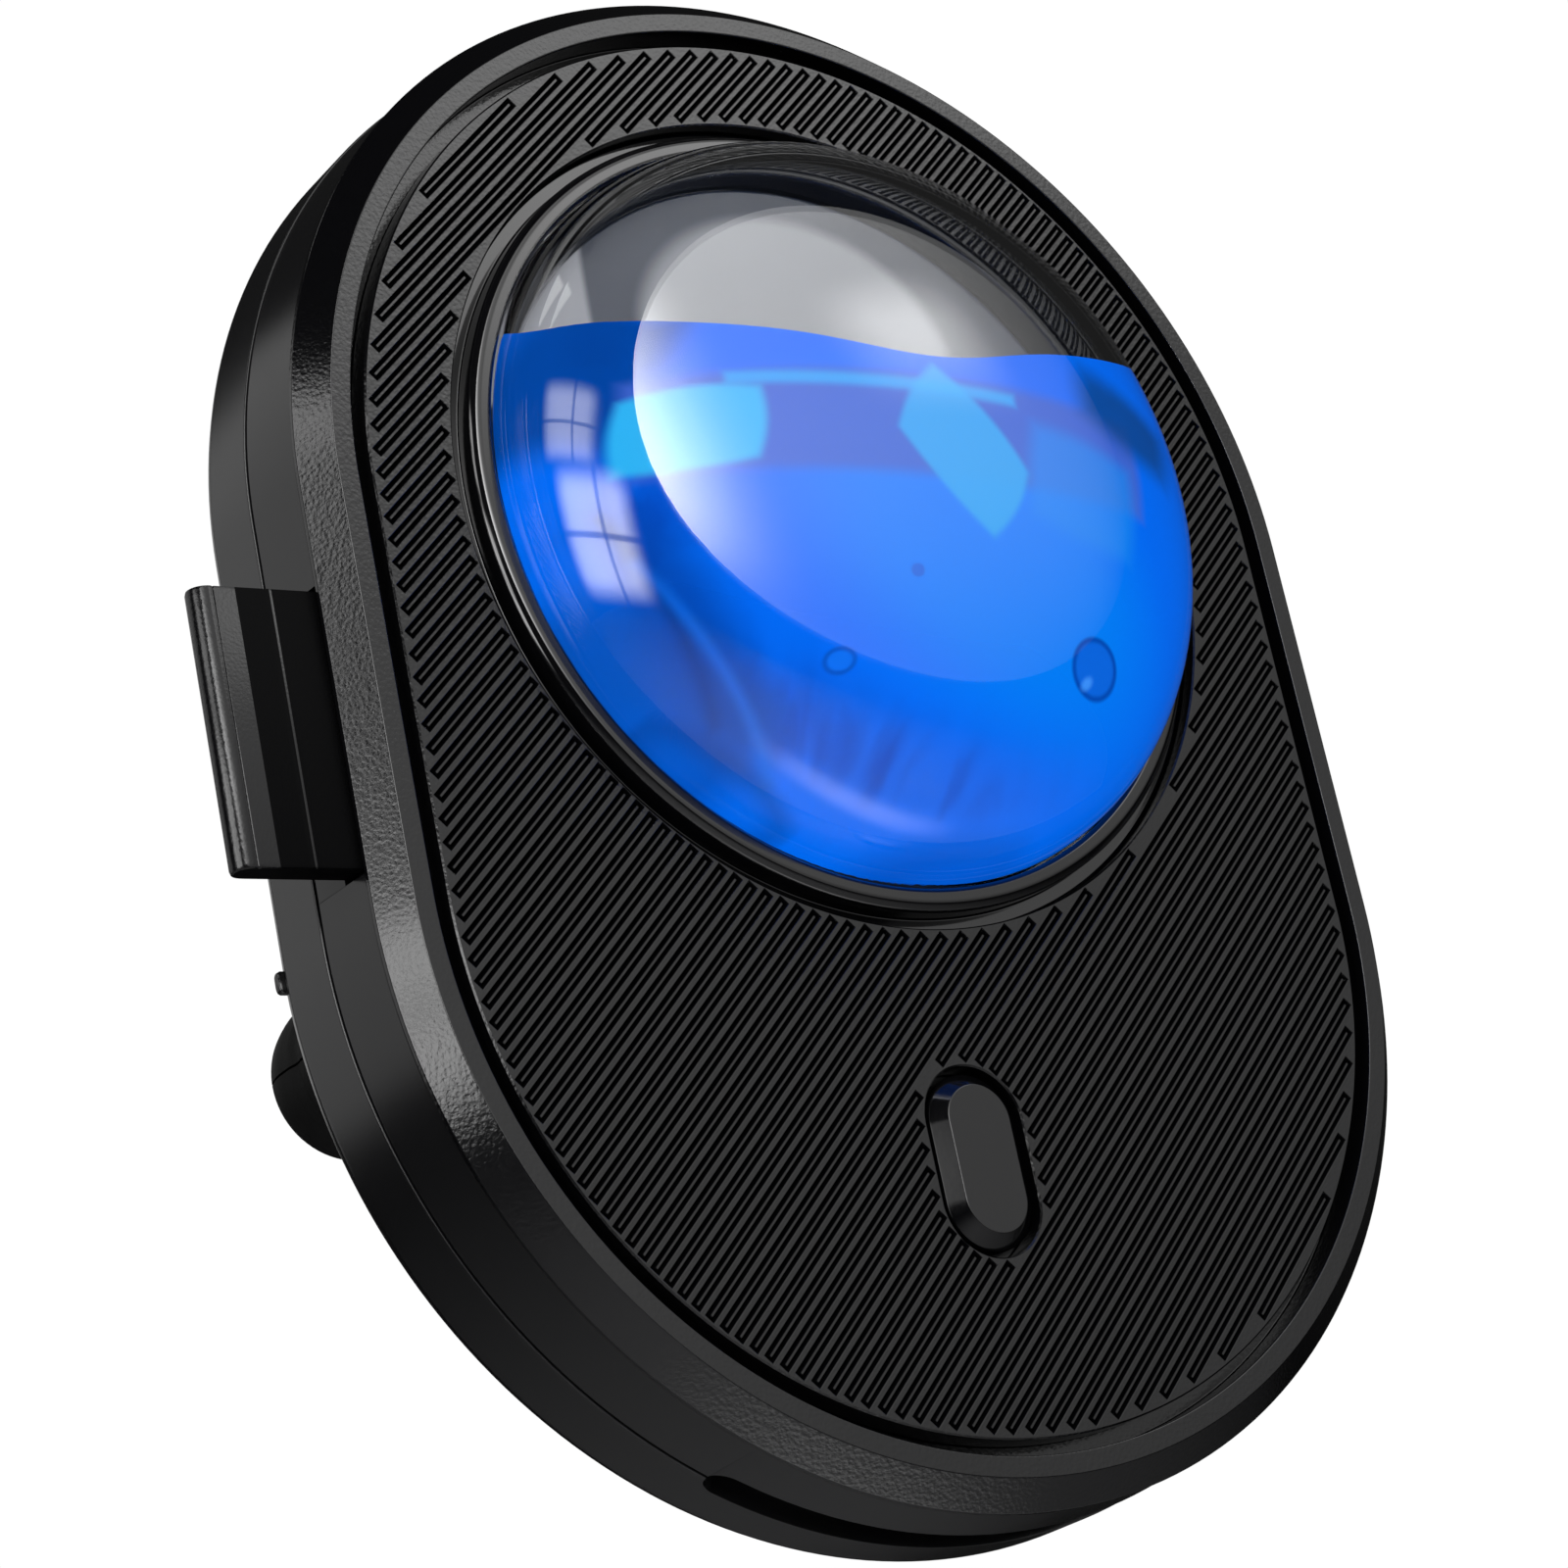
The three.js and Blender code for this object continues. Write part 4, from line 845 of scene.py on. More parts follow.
# Painted light and shade in the liquid: pale sheens where light gathers, dark shaded crescents and streaks, a
# bright waterline, and two bubbles drawn as a dark ring round a paler middle with a painted highlight.
LIQUID_LIGHT_AND_SHADE = (
    Patch(0.5, 5.0, -30.0, 13.5, 8.0, 3.5, (0.0006, 0.215, 0.9), 0.95, 0.0, 1.0),
    Patch(-21.5, 18.0, -35.0, 3.4, 4.6, 1.4, (0.0006, 0.045, 0.24), 0.9),
    Patch(-3.0, 12.4, -3.0, 17.5, 3.3, 0.6, (0.06, 0.13, 0.56), 0.85, 0.0, 0.2),
    Patch(14.5, 15.0, -20.0, 4.5, 2.2, 1.2, (0.004, 0.06, 0.24), 0.9, 0.0, 0.5),
    Patch(-17.2, 12.9, -2.0, 4.0, 2.6, 0.35, (0.03, 0.48, 0.88), 0.95, -0.15, 0.35),
    Patch(-0.6, 10.9, -50.0, 4.8, 3.1, 0.3, (0.028, 0.38, 0.85), 0.95, 0.2, 0.35),
    Patch(8.6, 9.2, -12.0, 4.6, 3.4, 0.8, (0.01, 0.25, 0.86), 0.7, 0.0, 0.3),
    Patch(-5.5, 15.1, -4.0, 9.5, 0.4, 0.35, (0.02, 0.42, 0.92), 0.75),
    Patch(-19.2, 0.2, -42.0, 7.5, 1.9, 1.3, (0.002, 0.075, 0.42), 0.85, 0.0, 0.6),
    Patch(-3.3, -10.9, 4.0, 9.0, 0.6, 0.8, (0.001, 0.075, 0.5), 0.7, 0.0, 0.8),
    Patch(-17.8, 1.6, -62.0, 8.5, 1.6, 1.3, (0.001, 0.05, 0.33), 0.75, 0.0, 0.7),
    Patch(-18.9, 2.6, -64.0, 7.0, 0.22, 0.4, (0.001, 0.025, 0.17), 0.75, 0.0, 0.5),
    Patch(-16.4, -0.6, -57.0, 7.5, 0.2, 0.35, (0.006, 0.15, 0.75), 0.7, 0.0, 0.5),
    Patch(-14.2, -5.6, -38.0, 5.5, 0.18, 0.35, (0.001, 0.035, 0.22), 0.6, 0.0, 0.5),
    Patch(8.5, -1.4, 0.0, 2.1, 1.75, 0.14, (0.0006, 0.05, 0.36), 0.9, 0.0, 1.0),
    Patch(8.5, -1.4, 0.0, 1.75, 1.45, 0.16, (0.003, 0.13, 0.7), 1.0, 0.0, 1.0),
    Patch(7.8, -2.3, 30.0, 0.5, 0.3, 0.2, (0.05, 0.3, 0.95), 0.9, 0.0, 1.0),
    Patch(-10.0, -1.5, 0.0, 1.0, 0.75, 0.12, (0.002, 0.06, 0.4), 0.7, 0.0, 1.0),
    Patch(-10.0, -1.5, 0.0, 0.75, 0.52, 0.12, (0.004, 0.16, 0.85), 1.0, 0.0, 1.0),
    Patch(-5.1, 3.3, 0.0, 0.45, 0.4, 0.1, (0.01, 0.1, 0.6), 0.7, 0.0, 1.0),
)
# Painted light and shade on the dish: two pale patches for light seen across the air space, and a dark band
# of painted shade across its top.
DISH_LIGHT_AND_SHADE = (
    Patch(0.2, 24.2, 0.0, 12.2, 10.2, 0.7, (0.22, 0.225, 0.24), 1.0, 0.0, 1.0),
    Patch(-20.0, 28.0, 0.0, 4.4, 9.0, 0.35, (0.26, 0.265, 0.285), 1.0),
    Patch(8.0, 40.5, -28.0, 16.0, 3.6, 1.6, (0.008, 0.018, 0.045), 0.9),
)


class Finishes:
    """The finishes this detector is made in, one for each material slot."""

    SATIN = Plastic(
        "satin_black", (0.0022, 0.0022, 0.0024), 0.19, Grain.FINE, 5200.0, 0.000002, specular=0.36
    )
    GRAINED = Plastic(
        "grained_black", (0.0008, 0.0008, 0.001), 0.13, Grain.COARSE, 4200.0, 0.00001, specular=0.36
    )
    PLATE = Plastic("plate_black", (0.0008, 0.0008, 0.001), 0.2, Grain.COARSE, 5200.0, 0.000008, 0.1, 0.3)
    # Painted shade: a darker, duller copy of the plate finish for the part of the tray's face that is turned
    # from the light.
    SHADED = Plastic(
        "shaded_black", (0.0006, 0.0006, 0.0007), 0.5, Grain.COARSE, 5200.0, 0.000008, 0.1, 0.03
    )
    EDGE = Plastic("edge_black", (0.001, 0.001, 0.0012), 0.1, Grain.FINE, 1800.0, 0.0000005, 0.1, 0.3)
    GLOSS = Plastic("gloss_black", (0.001, 0.001, 0.0012), 0.08, Grain.FINE, 1800.0, 0.0000005, 0.1)
    INNER = Plastic("inner_black", (0.014, 0.014, 0.015), 0.65, Grain.COARSE, 2600.0, 0.00001)
    LENS = Glass("clear_lens", (0.98, 0.99, 1.0), 0.04)
    LIQUID = Liquid("blue_liquid", (0.0, 0.01, 0.08), 0.05, light_and_shade=LIQUID_LIGHT_AND_SHADE)
    SMOKE = Smoked("smoke_base", (0.012, 0.014, 0.018), 0.3, light_and_shade=DISH_LIGHT_AND_SHADE)
    MILKY = Lit("milky_guide", (0.8, 0.84, 0.9), 0.45, 0.15)
    LED = Lit("led_lens", (0.55, 0.7, 1.0), 0.2, 0.6)
    RUBBER = Rubber("black_rubber", (0.001, 0.001, 0.001), 0.6)
    BOARD = Board("board_green", (0.006, 0.05, 0.02), 0.42)
    STEEL = Metal("bright_steel", (0.52, 0.53, 0.55), 0.34)
    NICKEL = Metal("nickel", (0.62, 0.6, 0.56), 0.28)
    FOIL = Metal("foil_wrap", (0.42, 0.43, 0.46), 0.42, 0.00001)
    CERAMIC = Plastic("pale_ceramic", (0.6, 0.52, 0.38), 0.55, Grain.COARSE, 1500.0, 0.00001)
    RED_WINDOW = Plastic(
        "red_window", (0.03, 0.001, 0.002), 0.08, Grain.FINE, 1500.0, 0.000001, 0.1, 0.6, 0.5
    )
    CLOTH = Cloth("mesh_cloth", (0.02, 0.02, 0.022), 0.85)
    CARD = Plastic("card_black", (0.012, 0.012, 0.013), 0.5, Grain.FINE, 4000.0, 0.000006)


# ---------------------------------------------------------------- the case


@dataclass
class Case:
    """The oval case: bezel, middle shell and rear shell, with the bottom slot and the tray's mouth."""

    end: float = 38.0
    half: float = 13.0
    depth: float = 13.6
    parting: float = 7.5
    seam: float = 0.06
    lip_outer: float = 36.0
    lip_inner: float = 34.7
    chamfer: float = 37.7
    bezel_back: float = 2.15
    slot_half: float = 1.3
    slot_angle: float = 30.0
    tray_low: float = -11.0
    tray_high: float = 6.8
    tray_back: float = 4.65
    screw: tuple[float, float] = (20.79, 33.79)
    steps: int = 110

    def track(self) -> Track:
        """The case's path, with close stations at the tray's mouth and the slot's ends."""
        edges = [self.tray_low - 0.02, self.tray_low + 0.02, self.tray_high - 0.02, self.tray_high + 0.02]
        ends = self.slot_angle + np.array([-2.0, -1.6, -1.2, -0.8, -0.5, -0.3, -0.15, -0.06, 0.0, 0.04])
        return Track.oval(0.0, self.half, self.steps, edges, np.concatenate([ends, -ends]))

    def in_tray(self, angle: Array, height: Array) -> Array:
        """Where a station lies in the tray's mouth, on the left side."""
        return (np.abs(angle - np.pi) < 1e-6) & (height > self.tray_low) & (height < self.tray_high)

    def slot_reach(self, angle: Array) -> Array:
        """Half height of the bottom slot: full inside, round at its ends.

        With e the distance to the slot's end, it is sqrt(h^2 - (h - e)^2) up to e = h.
        """
        past = np.abs(np.degrees(angle) - 270.0)
        inside = np.clip(np.radians(self.slot_angle - past) * self.end, 0.0, self.slot_half)
        return np.sqrt(np.maximum(self.slot_half**2 - (self.slot_half - inside) ** 2, 0.0))

    def bezel(self) -> Piece:
        """The front rim: lip, chamfer, short side and inner skirt, cleared for the tray."""
        corners = [
            (self.lip_inner, 0.0), (self.lip_outer, 0.0), (self.chamfer, 1.8),
            (self.chamfer, self.bezel_back), (35.9, self.bezel_back), (35.9, 4.0), (32.8, 4.0),
            (32.8, 2.05), (self.lip_inner, 2.05),
        ]
        outline = eased(corners, [0.1, 0.05, 0.05, 0.06, 0.05, 0.05, 0.05, 0.05, 0.08])

        def clear(radius: Array, depth: Array, angle: Array, height: Array) -> tuple[Array, Array]:
            """Behind the bezel's back, the skirt is squeezed to a twentieth across the tray's mouth."""
            squeezed = self.bezel_back + (depth - self.bezel_back) * SQUEEZE
            return radius, np.where(
                self.in_tray(angle, height) & (depth > self.bezel_back), squeezed, depth
            )

        return make_piece("bezel_rim", ring_shell(outline, self.track(), clear), [Finishes.GRAINED])

    def middle(self) -> Piece:
        """The middle shell, notched behind for the slot and in front for the tray."""
        front = self.bezel_back + 2 * self.seam
        back = self.parting - self.seam
        corners = [
            (36.1, front), (37.55, front), (37.9, back), (36.4, back), (36.4, 4.6), (34.8, 4.6),
            (34.8, 4.2), (36.1, 4.2),
        ]
        outline = eased(corners, [0.05, 0.12, 0.1, 0.05, 0.05, 0.05, 0.05, 0.05])

        def notch(radius: Array, depth: Array, angle: Array, height: Array) -> tuple[Array, Array]:
            """Rows past a limit are squeezed behind it to a twentieth of their reach."""
            limit = self.parting - np.maximum(self.slot_reach(angle), self.seam)
            limit = limit - self.seam * (limit < self.parting - 0.2)
            depth = np.where(depth > limit, limit - (back - depth) * SQUEEZE, depth)
            mouth = self.in_tray(angle, height) & (depth < self.tray_back)
            return radius, np.where(mouth, self.tray_back + (depth - front) * SQUEEZE, depth)

        return make_piece("middle_wall", ring_shell(outline, self.track(), notch), [Finishes.SATIN])

    def rear(self) -> Piece:
        """The rear shell: wall, rounded back edge and a pierced floor with screw recesses."""
        front = self.parting + self.seam
        floor_loop_radius = 35.6
        corners = [
            (36.4, 12.2), (36.4, front), (self.end, front), (self.end, 12.4), (37.65, 13.25),
            (36.8, self.depth), (floor_loop_radius, self.depth),
        ]
        outline = eased(corners, [0.05, 0.05, 0.1, 0.25, 0.25, 0.25, 0.05], closed=False)

        def notch(radius: Array, depth: Array, angle: Array, height: Array) -> tuple[Array, Array]:
            """Rows in front of the slot's edge are squeezed behind it."""
            limit = self.parting + np.maximum(self.slot_reach(angle), self.seam)
            return radius, np.where(depth < limit, limit + (depth - front) * SQUEEZE, depth)

        track = self.track()
        wall = carried(outline, track, notch)
        outer_loop = wall[-1][:, [0, 2]]
        inner_loop = wall[0][:, [0, 2]]
        recesses = []
        parts = [grid_shell(wall, False, True)]
        places = [(sx * self.screw[0], sz * self.screw[1], 2.1, 12.35) for sx in (-1, 1) for sz in (-1, 1)]
        for x, z, radius, bottom in [*places, (0.0, 26.0, 3.8, 13.05)]:
            mouth = loop_oval(radius + 0.12, 0.0, z, 24) + np.array([x, 0.0])
            bore = loop_oval(radius, 0.0, z, 24) + np.array([x, 0.0])
            recesses.append(mouth)
            parts.append(
                towards(
                    loops_shell([mouth, bore, bore], [self.depth, self.depth - 0.12, bottom]), True,
                    np.array([x, z]),
                )
            )
            parts.append(face_shell(bore, [], bottom, False))
        keep = np.concatenate([[True], np.linalg.norm(np.diff(outer_loop, axis=0), axis=1) > 1e-4])
        parts.append(face_shell(outer_loop[keep], recesses, self.depth, False))
        parts.append(face_shell(inner_loop[keep], [], 12.2, True))
        shell = Shell.join([self.facing_out(parts[0]), *parts[1:]])
        return make_piece("rear_wall", shell, [Finishes.SATIN])

    @staticmethod
    def facing_out(shell: Shell) -> Shell:
        """The open wall with its outer rows looking away from the middle."""
        starts = np.cumsum(shell.sizes) - shell.sizes
        a, b, c = (shell.points[shell.loops[starts + k]] for k in range(3))
        normal = np.cross(b - a, c - a)
        outer = np.linalg.norm(a[:, [0]], axis=1) > 37.9
        if (normal[outer][:, 0] * a[outer][:, 0]).sum() < 0:
            shell.loops = shell.loops.reshape(-1, 4)[:, ::-1].reshape(-1)
        return shell

    def nib(self) -> Piece:
        """The small latch nib on the left edge of the rear shell: a rounded block."""
        t = np.linspace(0, 2 * np.pi, 24, endpoint=False)
        square = np.sign(np.cos(t)) * np.abs(np.cos(t)) ** 0.5, np.sign(np.sin(t)) * np.abs(np.sin(t)) ** 0.5
        reach = np.array([-36.9, -37.95, -38.08, -38.15, -38.15])
        size = np.array([1.0, 1.0, 0.9, 0.7, 0.0])
        points = np.stack([
            np.repeat(reach[:, None], 24, 1),
            13.25 + 0.33 * size[:, None] * square[0],
            -13.7 + 0.7 * size[:, None] * square[1],
        ], -1)
        closed = np.concatenate([points[:1] * np.array([1, 0, 0]) + np.array([0, 13.25, -13.7]), points])
        return make_piece("latch_nib", grid_shell(closed, False, True).outward(), [Finishes.SATIN])

    def build(self) -> None:
        """Makes the case's pieces and puts them on the head."""
        install(self.bezel(), "head", ["front_bezel"])
        install(self.middle(), "head", ["mid_shell"])
        install(self.rear(), "head", ["rear_shell"])
        install(self.nib(), "head", [])
        for index, (sx, sz) in enumerate([(-1, 1), (1, 1), (1, -1), (-1, -1)]):
            self.screw_head(index + 1, sx * self.screw[0], sz * self.screw[1])

    def screw_head(self, index: int, x: float, z: float) -> None:
        """A pan-head case screw with a cross recess pressed into it."""
        corners = [
            (0.0, 10.0), (0.95, 10.0), (0.95, 12.45), (1.9, 12.45), (1.9, 12.8), (1.1, 13.0), (0.0, 13.0)
        ]
        outline = eased(corners, [0, 0.05, 0.05, 0.1, 0.2, 0.3, 0], closed=False)
        dense = np.concatenate([outline, np.stack([np.linspace(1.0, 0.0, 14), np.full(14, 13.0)], -1)])

        def cross(radius: Array, depth: Array, angle: Array, height: Array) -> tuple[Array, Array]:
            """The recess is 0.5 deep within 0.25 of either of two crossing lines, out to 1.1."""
            off = radius * np.minimum(np.abs(np.sin(angle)), np.abs(np.cos(angle)))
            sunk = np.clip((0.32 - off) / 0.08, 0, 1) * np.clip((1.1 - radius) / 0.1, 0, 1)
            return radius, np.where(depth > 12.9, depth - 0.5 * sunk, depth)

        shell = solid_shell(dense, Track.circle(x, z, 64), cross)
        install(
            make_piece(f"case_screw_head_{index}", shell, [Finishes.STEEL]), "head",
            [f"case_screw_{index}"],
        )


@dataclass
class RibPanel:
    """The front panel: fine diagonal beads between grooves, inside a raised border."""

    radius: float = 33.7
    half: float = 13.0
    front: float = 0.15
    back: float = 1.85
    border: float = 0.22
    pitch: float = 1.05
    channel: float = 0.68
    bead: float = 0.2
    bead_drop: float = 0.05
    groove: float = 0.45
    ease: float = 0.045
    lean: float = 44.0
    ring_hole: float = 27.9
    dome_z: float = 13.0
    button_hole: float = 3.6
    button_half: float = 2.4
    button_z: float = -29.7
    clear: float = 0.16
    shortest: float = 1.2
    reach: float = 50.0
    samples: int = 20001

    def spans(self) -> tuple[Array, Array, Array]:
        """Where each channel starts and ends along its own line.

        A line at distance t from the middle is cut by the border's oval and by the two keep-out
        ovals round the openings; both edges of the channel have to be clear, so the shorter of
        the two counts. Intervals come from sampling the line finely and finding the changes.

        Returns:
            Arrays of the channels' offsets, starts and ends.
        """
        direction = np.array([np.cos(np.radians(self.lean)), np.sin(np.radians(self.lean))])
        across = np.array([-direction[1], direction[0]])
        count = int((self.radius + self.half) / self.pitch)
        offset = np.arange(-count, count + 1) * self.pitch
        along = np.linspace(-self.reach, self.reach, self.samples)
        free = np.ones((len(offset), len(along)), bool)
        for side in (-0.5, 0.5):
            t = offset + side * (self.channel + 2 * self.ease)
            x = along[None] * direction[0] + t[:, None] * across[0]
            z = along[None] * direction[1] + t[:, None] * across[1]
            free &= np.hypot(x, z - np.clip(z, -self.half, self.half)) < self.radius - self.border
            free &= np.hypot(x, z - self.dome_z) > self.ring_hole + self.clear
            middle = np.clip(z - self.button_z, -self.button_half, self.button_half)
            free &= np.hypot(x, z - self.button_z - middle) > self.button_hole + self.clear
        step = np.diff(free.astype(int), axis=1, prepend=0, append=0)
        row, begin = np.nonzero(step == 1)
        end = np.nonzero(step == -1)[1] - 1
        begin, end = along[np.minimum(begin, self.samples - 1)], along[end]
        long_enough = end - begin > self.shortest
        return offset[row][long_enough], begin[long_enough], end[long_enough]

    def rectangles(self, grow: float, offset: Array, begin: Array, end: Array, half_width: float) -> Array:
        """Corner loops of every channel, grown by a margin: channels x 4 x (x, z)."""
        a = np.radians(self.lean)
        s = np.stack([begin - grow, end + grow, end + grow, begin - grow], -1)
        w = half_width + grow
        t = offset[:, None] + np.array([-w, -w, w, w])
        return np.stack([s * np.cos(a) - t * np.sin(a), s * np.sin(a) + t * np.cos(a)], -1)

    def grooves(self) -> tuple[list[Array], Shell]:
        """The channels' mouths, and one shell of their walls, floors and beads.

        Each channel runs down from its eased mouth to the foot of a V groove, then back up to
        the bead's own eased top, all as rings of four corners.
        """
        offset, begin, end = self.spans()
        gap = (self.channel - self.bead) / 2
        levels = [
            (self.ease, self.channel / 2, 0.0), (self.ease * 0.35, self.channel / 2, self.ease * 0.4),
            (0.0, self.channel / 2, self.ease * 1.3), (-gap / 2, self.channel / 2, self.groove),
            (-gap, self.channel / 2, self.bead_drop + self.ease * 1.3),
            (-gap - self.ease * 0.7, self.channel / 2, self.bead_drop),
        ]
        rings = np.stack([self.rectangles(grow, offset, begin, end, width) for grow, width, _ in levels], 1)
        depth = np.array([self.front + d for _, _, d in levels])
        count, rows = rings.shape[:2]
        points = np.stack(
            [rings[..., 0], np.broadcast_to(depth[None, :, None], rings.shape[:3]), rings[..., 1]], -1
        )
        base = (np.arange(count) * rows * 4)[:, None, None]
        row = (np.arange(rows - 1) * 4)[None, :, None]
        column = np.arange(4)[None, None]
        beside = (column + 1) % 4
        quads = np.stack(
            [base + row + column, base + row + beside, base + row + 4 + beside, base + row + 4 + column], -1
        )
        quads = np.broadcast_to(quads, (count, rows - 1, 4, 4)).reshape(-1, 4)
        tops = (base[:, 0, 0] + (rows - 1) * 4)[:, None] + np.arange(4)[None]
        loops = np.concatenate([quads.reshape(-1), tops.reshape(-1)])
        sizes = np.full(len(quads) + count, 4)
        shell = Shell(points.reshape(-1, 3), loops, sizes, np.zeros(len(sizes), int))
        return list(rings[:, 0]), shell

    def build(self) -> None:
        """Makes the panel and puts it on the head."""
        ease = 0.1
        outer = loop_oval(self.radius, self.half, 0.0, 150)
        ring = loop_oval(self.ring_hole, 0.0, self.dome_z, 130)
        button = loop_oval(self.button_hole, self.button_half, self.button_z, 36)
        outer_top = loop_oval(self.radius - ease, self.half, 0.0, 150)
        ring_top = loop_oval(self.ring_hole + ease, 0.0, self.dome_z, 130)
        button_top = loop_oval(self.button_hole + ease, self.button_half, self.button_z, 36)
        mouths, grooves = self.grooves()
        middle = np.array([0.0, 0.0])
        levels = [self.front, self.front + ease, self.back]
        parts = [
            face_shell(outer_top, [ring_top, button_top, *mouths], self.front, True),
            face_shell(outer, [ring, button], self.back, False),
            towards(loops_shell([outer_top, outer, outer], levels), False, middle),
            towards(loops_shell([ring_top, ring, ring], levels), True, np.array([0.0, self.dome_z])),
            towards(
                loops_shell([button_top, button, button], levels), True, np.array([0.0, self.button_z])
            ),
            grooves,
        ]
        panel = make_piece("ribbed_face", Shell.join(parts), [Finishes.GRAINED], smooth=False)
        install(panel, "head", ["rib_panel"])


# ---------------------------------------------------------------- the dome


@dataclass
class Dome:
    """The liquid dome: gloss ring, clear lens, liquid with its leaning level, and smoked base."""

    radius: float = 25.3
    height: float = 14.5
    wall: float = 1.4
    z: float = 13.0
    foot: float = -0.1
    level: float = 23.6
    lean: float = 22.0
    dips: tuple[tuple[float, float, float], ...] = ((1.25, -1.0, 7.5), (1.7, -25.0, 3.0))
    steps: int = 256

    def arc(self, radius: float, height: float, steps: int = 48) -> Array:
        """A quarter ellipse, foot to crown: (r cos t, -h sin t)."""
        t = np.linspace(0, np.pi / 2, steps)
        return np.stack([radius * np.cos(t), self.foot - height * np.sin(t)], -1)

    def ring(self) -> Piece:
        """The stepped gloss ring."""
        corners = [
            (25.45, -0.3), (25.7, -0.55), (26.45, -0.5), (26.9, -0.1), (26.9, 1.3), (27.75, 1.3),
            (27.75, 1.8), (25.45, 1.8),
        ]
        outline = eased(corners, [0.1, 0.14, 0.2, 0.2, 0.1, 0.05, 0.05, 0.05], steps=5)
        return make_piece(
            "dome_bezel", ring_shell(outline, Track.circle(0.0, self.z, self.steps)), [Finishes.GLOSS]
        )

    def lens(self) -> Piece:
        """The hollow lens with its flange: outer and inner ellipse, one wall apart."""
        inner = self.arc(self.radius - self.wall, self.height - self.wall)[::-1]
        foot = np.array([[23.9, 2.8], [26.5, 2.8], [26.5, 2.0], [25.3, 2.0]])
        outline = np.concatenate([inner, foot, self.arc(self.radius, self.height)])
        return make_piece(
            "dome_glass", solid_shell(outline, Track.circle(0.0, self.z, self.steps)), [Finishes.LENS]
        )

    def liquid(self) -> Piece:
        """The liquid: seen from a point inside it, the nearest of dome, back plate and level.

        Directions run from the level's own normal (the pole) to straight below. Along each one
        the distance to the half ellipsoid, to the plate and to the leaning level is solved, and
        the smallest is kept; the level sags by the sum of drop exp(-((x - at) / reach)^2) over
        its dips, found by repeated substitution. Rows are packed so that one lies on the waterline and
        one on the rim where dome meets plate.
        """
        a, h = self.radius - self.wall + 0.04, self.height - self.wall + 0.04
        lean = np.radians(self.lean)
        normal = np.array([0.0, -np.sin(lean), np.cos(lean)])
        side = np.array([1.0, 0.0, 0.0])
        front = np.cross(normal, side)
        inside = np.array([0.0, -4.5, 10.0])
        theta = np.linspace(0, 2 * np.pi, 360, endpoint=False)[None]

        def nearest(phi: Array) -> tuple[Array, Array, Array, Array]:
            """Distances to dome, plate and level along (phi from the normal, theta round it)."""
            d = np.cos(phi)[..., None] * normal + np.sin(phi)[..., None] * (
                np.cos(theta)[..., None] * side + np.sin(theta)[..., None] * front
            )
            scale = np.array([a, h, a])
            o = (inside - np.array([0.0, self.foot, self.z])) / scale
            e = d / scale
            qa, qb, qc = (e * e).sum(-1), (e * o).sum(-1), (o * o).sum() - 1
            dome = (-qb + np.sqrt(qb * qb - qa * qc)) / qa
            plate = np.where(d[..., 1] > 1e-6, (0.8 - inside[1]) / np.maximum(d[..., 1], 1e-6), 1e3)
            rise = np.maximum(np.cos(phi) + 0 * theta, 1e-6)
            flat = (np.array([0.0, 0.0, self.level]) - inside) @ normal
            top = flat / rise
            for _ in range(8):
                x = np.clip(inside[0] + np.minimum(top, dome) * d[..., 0], -24.0, 24.0)
                sag = -sum(drop * np.exp(-(((x - at) / reach) ** 2)) for drop, at, reach in self.dips)
                top = 0.5 * top + 0.5 * (flat + sag) / rise
            top = np.where(np.cos(phi) > 1e-6, top, 1e3)
            return dome, plate, top, d

        dense = np.linspace(0.01, np.pi - 0.01, 3000)[:, None] + 0 * theta
        dome, plate, top, _ = nearest(dense)
        rows = np.arange(3000)[:, None]
        shore_row = np.argmax(top > np.minimum(dome, plate), axis=0)[None]
        flips = (plate < dome) != (plate < dome)[shore_row[0], np.arange(360)][None]
        rim_row = np.where(
            (flips & (rows > shore_row)).any(0), np.argmax(flips & (rows > shore_row), axis=0), 0
        )[None]
        shore = dense[shore_row[0], 0][None]
        rim = np.where(rim_row > 0, dense[rim_row[0], 0][None], (shore + np.pi) / 2)
        upper = np.linspace(0, 1, 50)[:, None] ** 0.8 * shore
        middle = shore + np.linspace(0, 1, 120)[1:, None] * (rim - shore)
        lower = rim + np.linspace(0, 1, 70)[1:, None] * (np.pi - rim)
        phi = np.concatenate([upper, middle, lower])
        dome, plate, top, direction = nearest(phi)
        distance = np.minimum(np.minimum(dome, plate), top)
        points = inside + direction * distance[..., None]
        shell = grid_shell(points, False, True).outward()
        return make_piece("liquid_fill", shell, [Finishes.LIQUID])

    def base(self) -> Piece:
        """The smoked dish behind the liquid, with its fill hole left to the plug."""
        corners = [
            (0.0, 1.0), (23.7, 1.0), (23.7, 3.6), (26.5, 3.6), (26.5, 4.4), (22.5, 4.4), (22.5, 2.2),
            (0.0, 2.2),
        ]
        outline = eased(corners, [0, 0.2, 0.1, 0.1, 0.1, 0.1, 0.1, 0], closed=False)
        return make_piece(
            "smoked_dish", solid_shell(outline, Track.circle(0.0, self.z, 160)), [Finishes.SMOKE]
        )

    def build(self) -> None:
        """Makes the dome's pieces and puts them on the head."""
        install(self.ring(), "head", ["dome_ring"])
        install(self.lens(), "head", ["dome_lens"])
        install(self.liquid(), "head", ["blue_liquid"])
        install(self.base(), "head", ["dome_base"])


# ---------------------------------------------------------------- controls


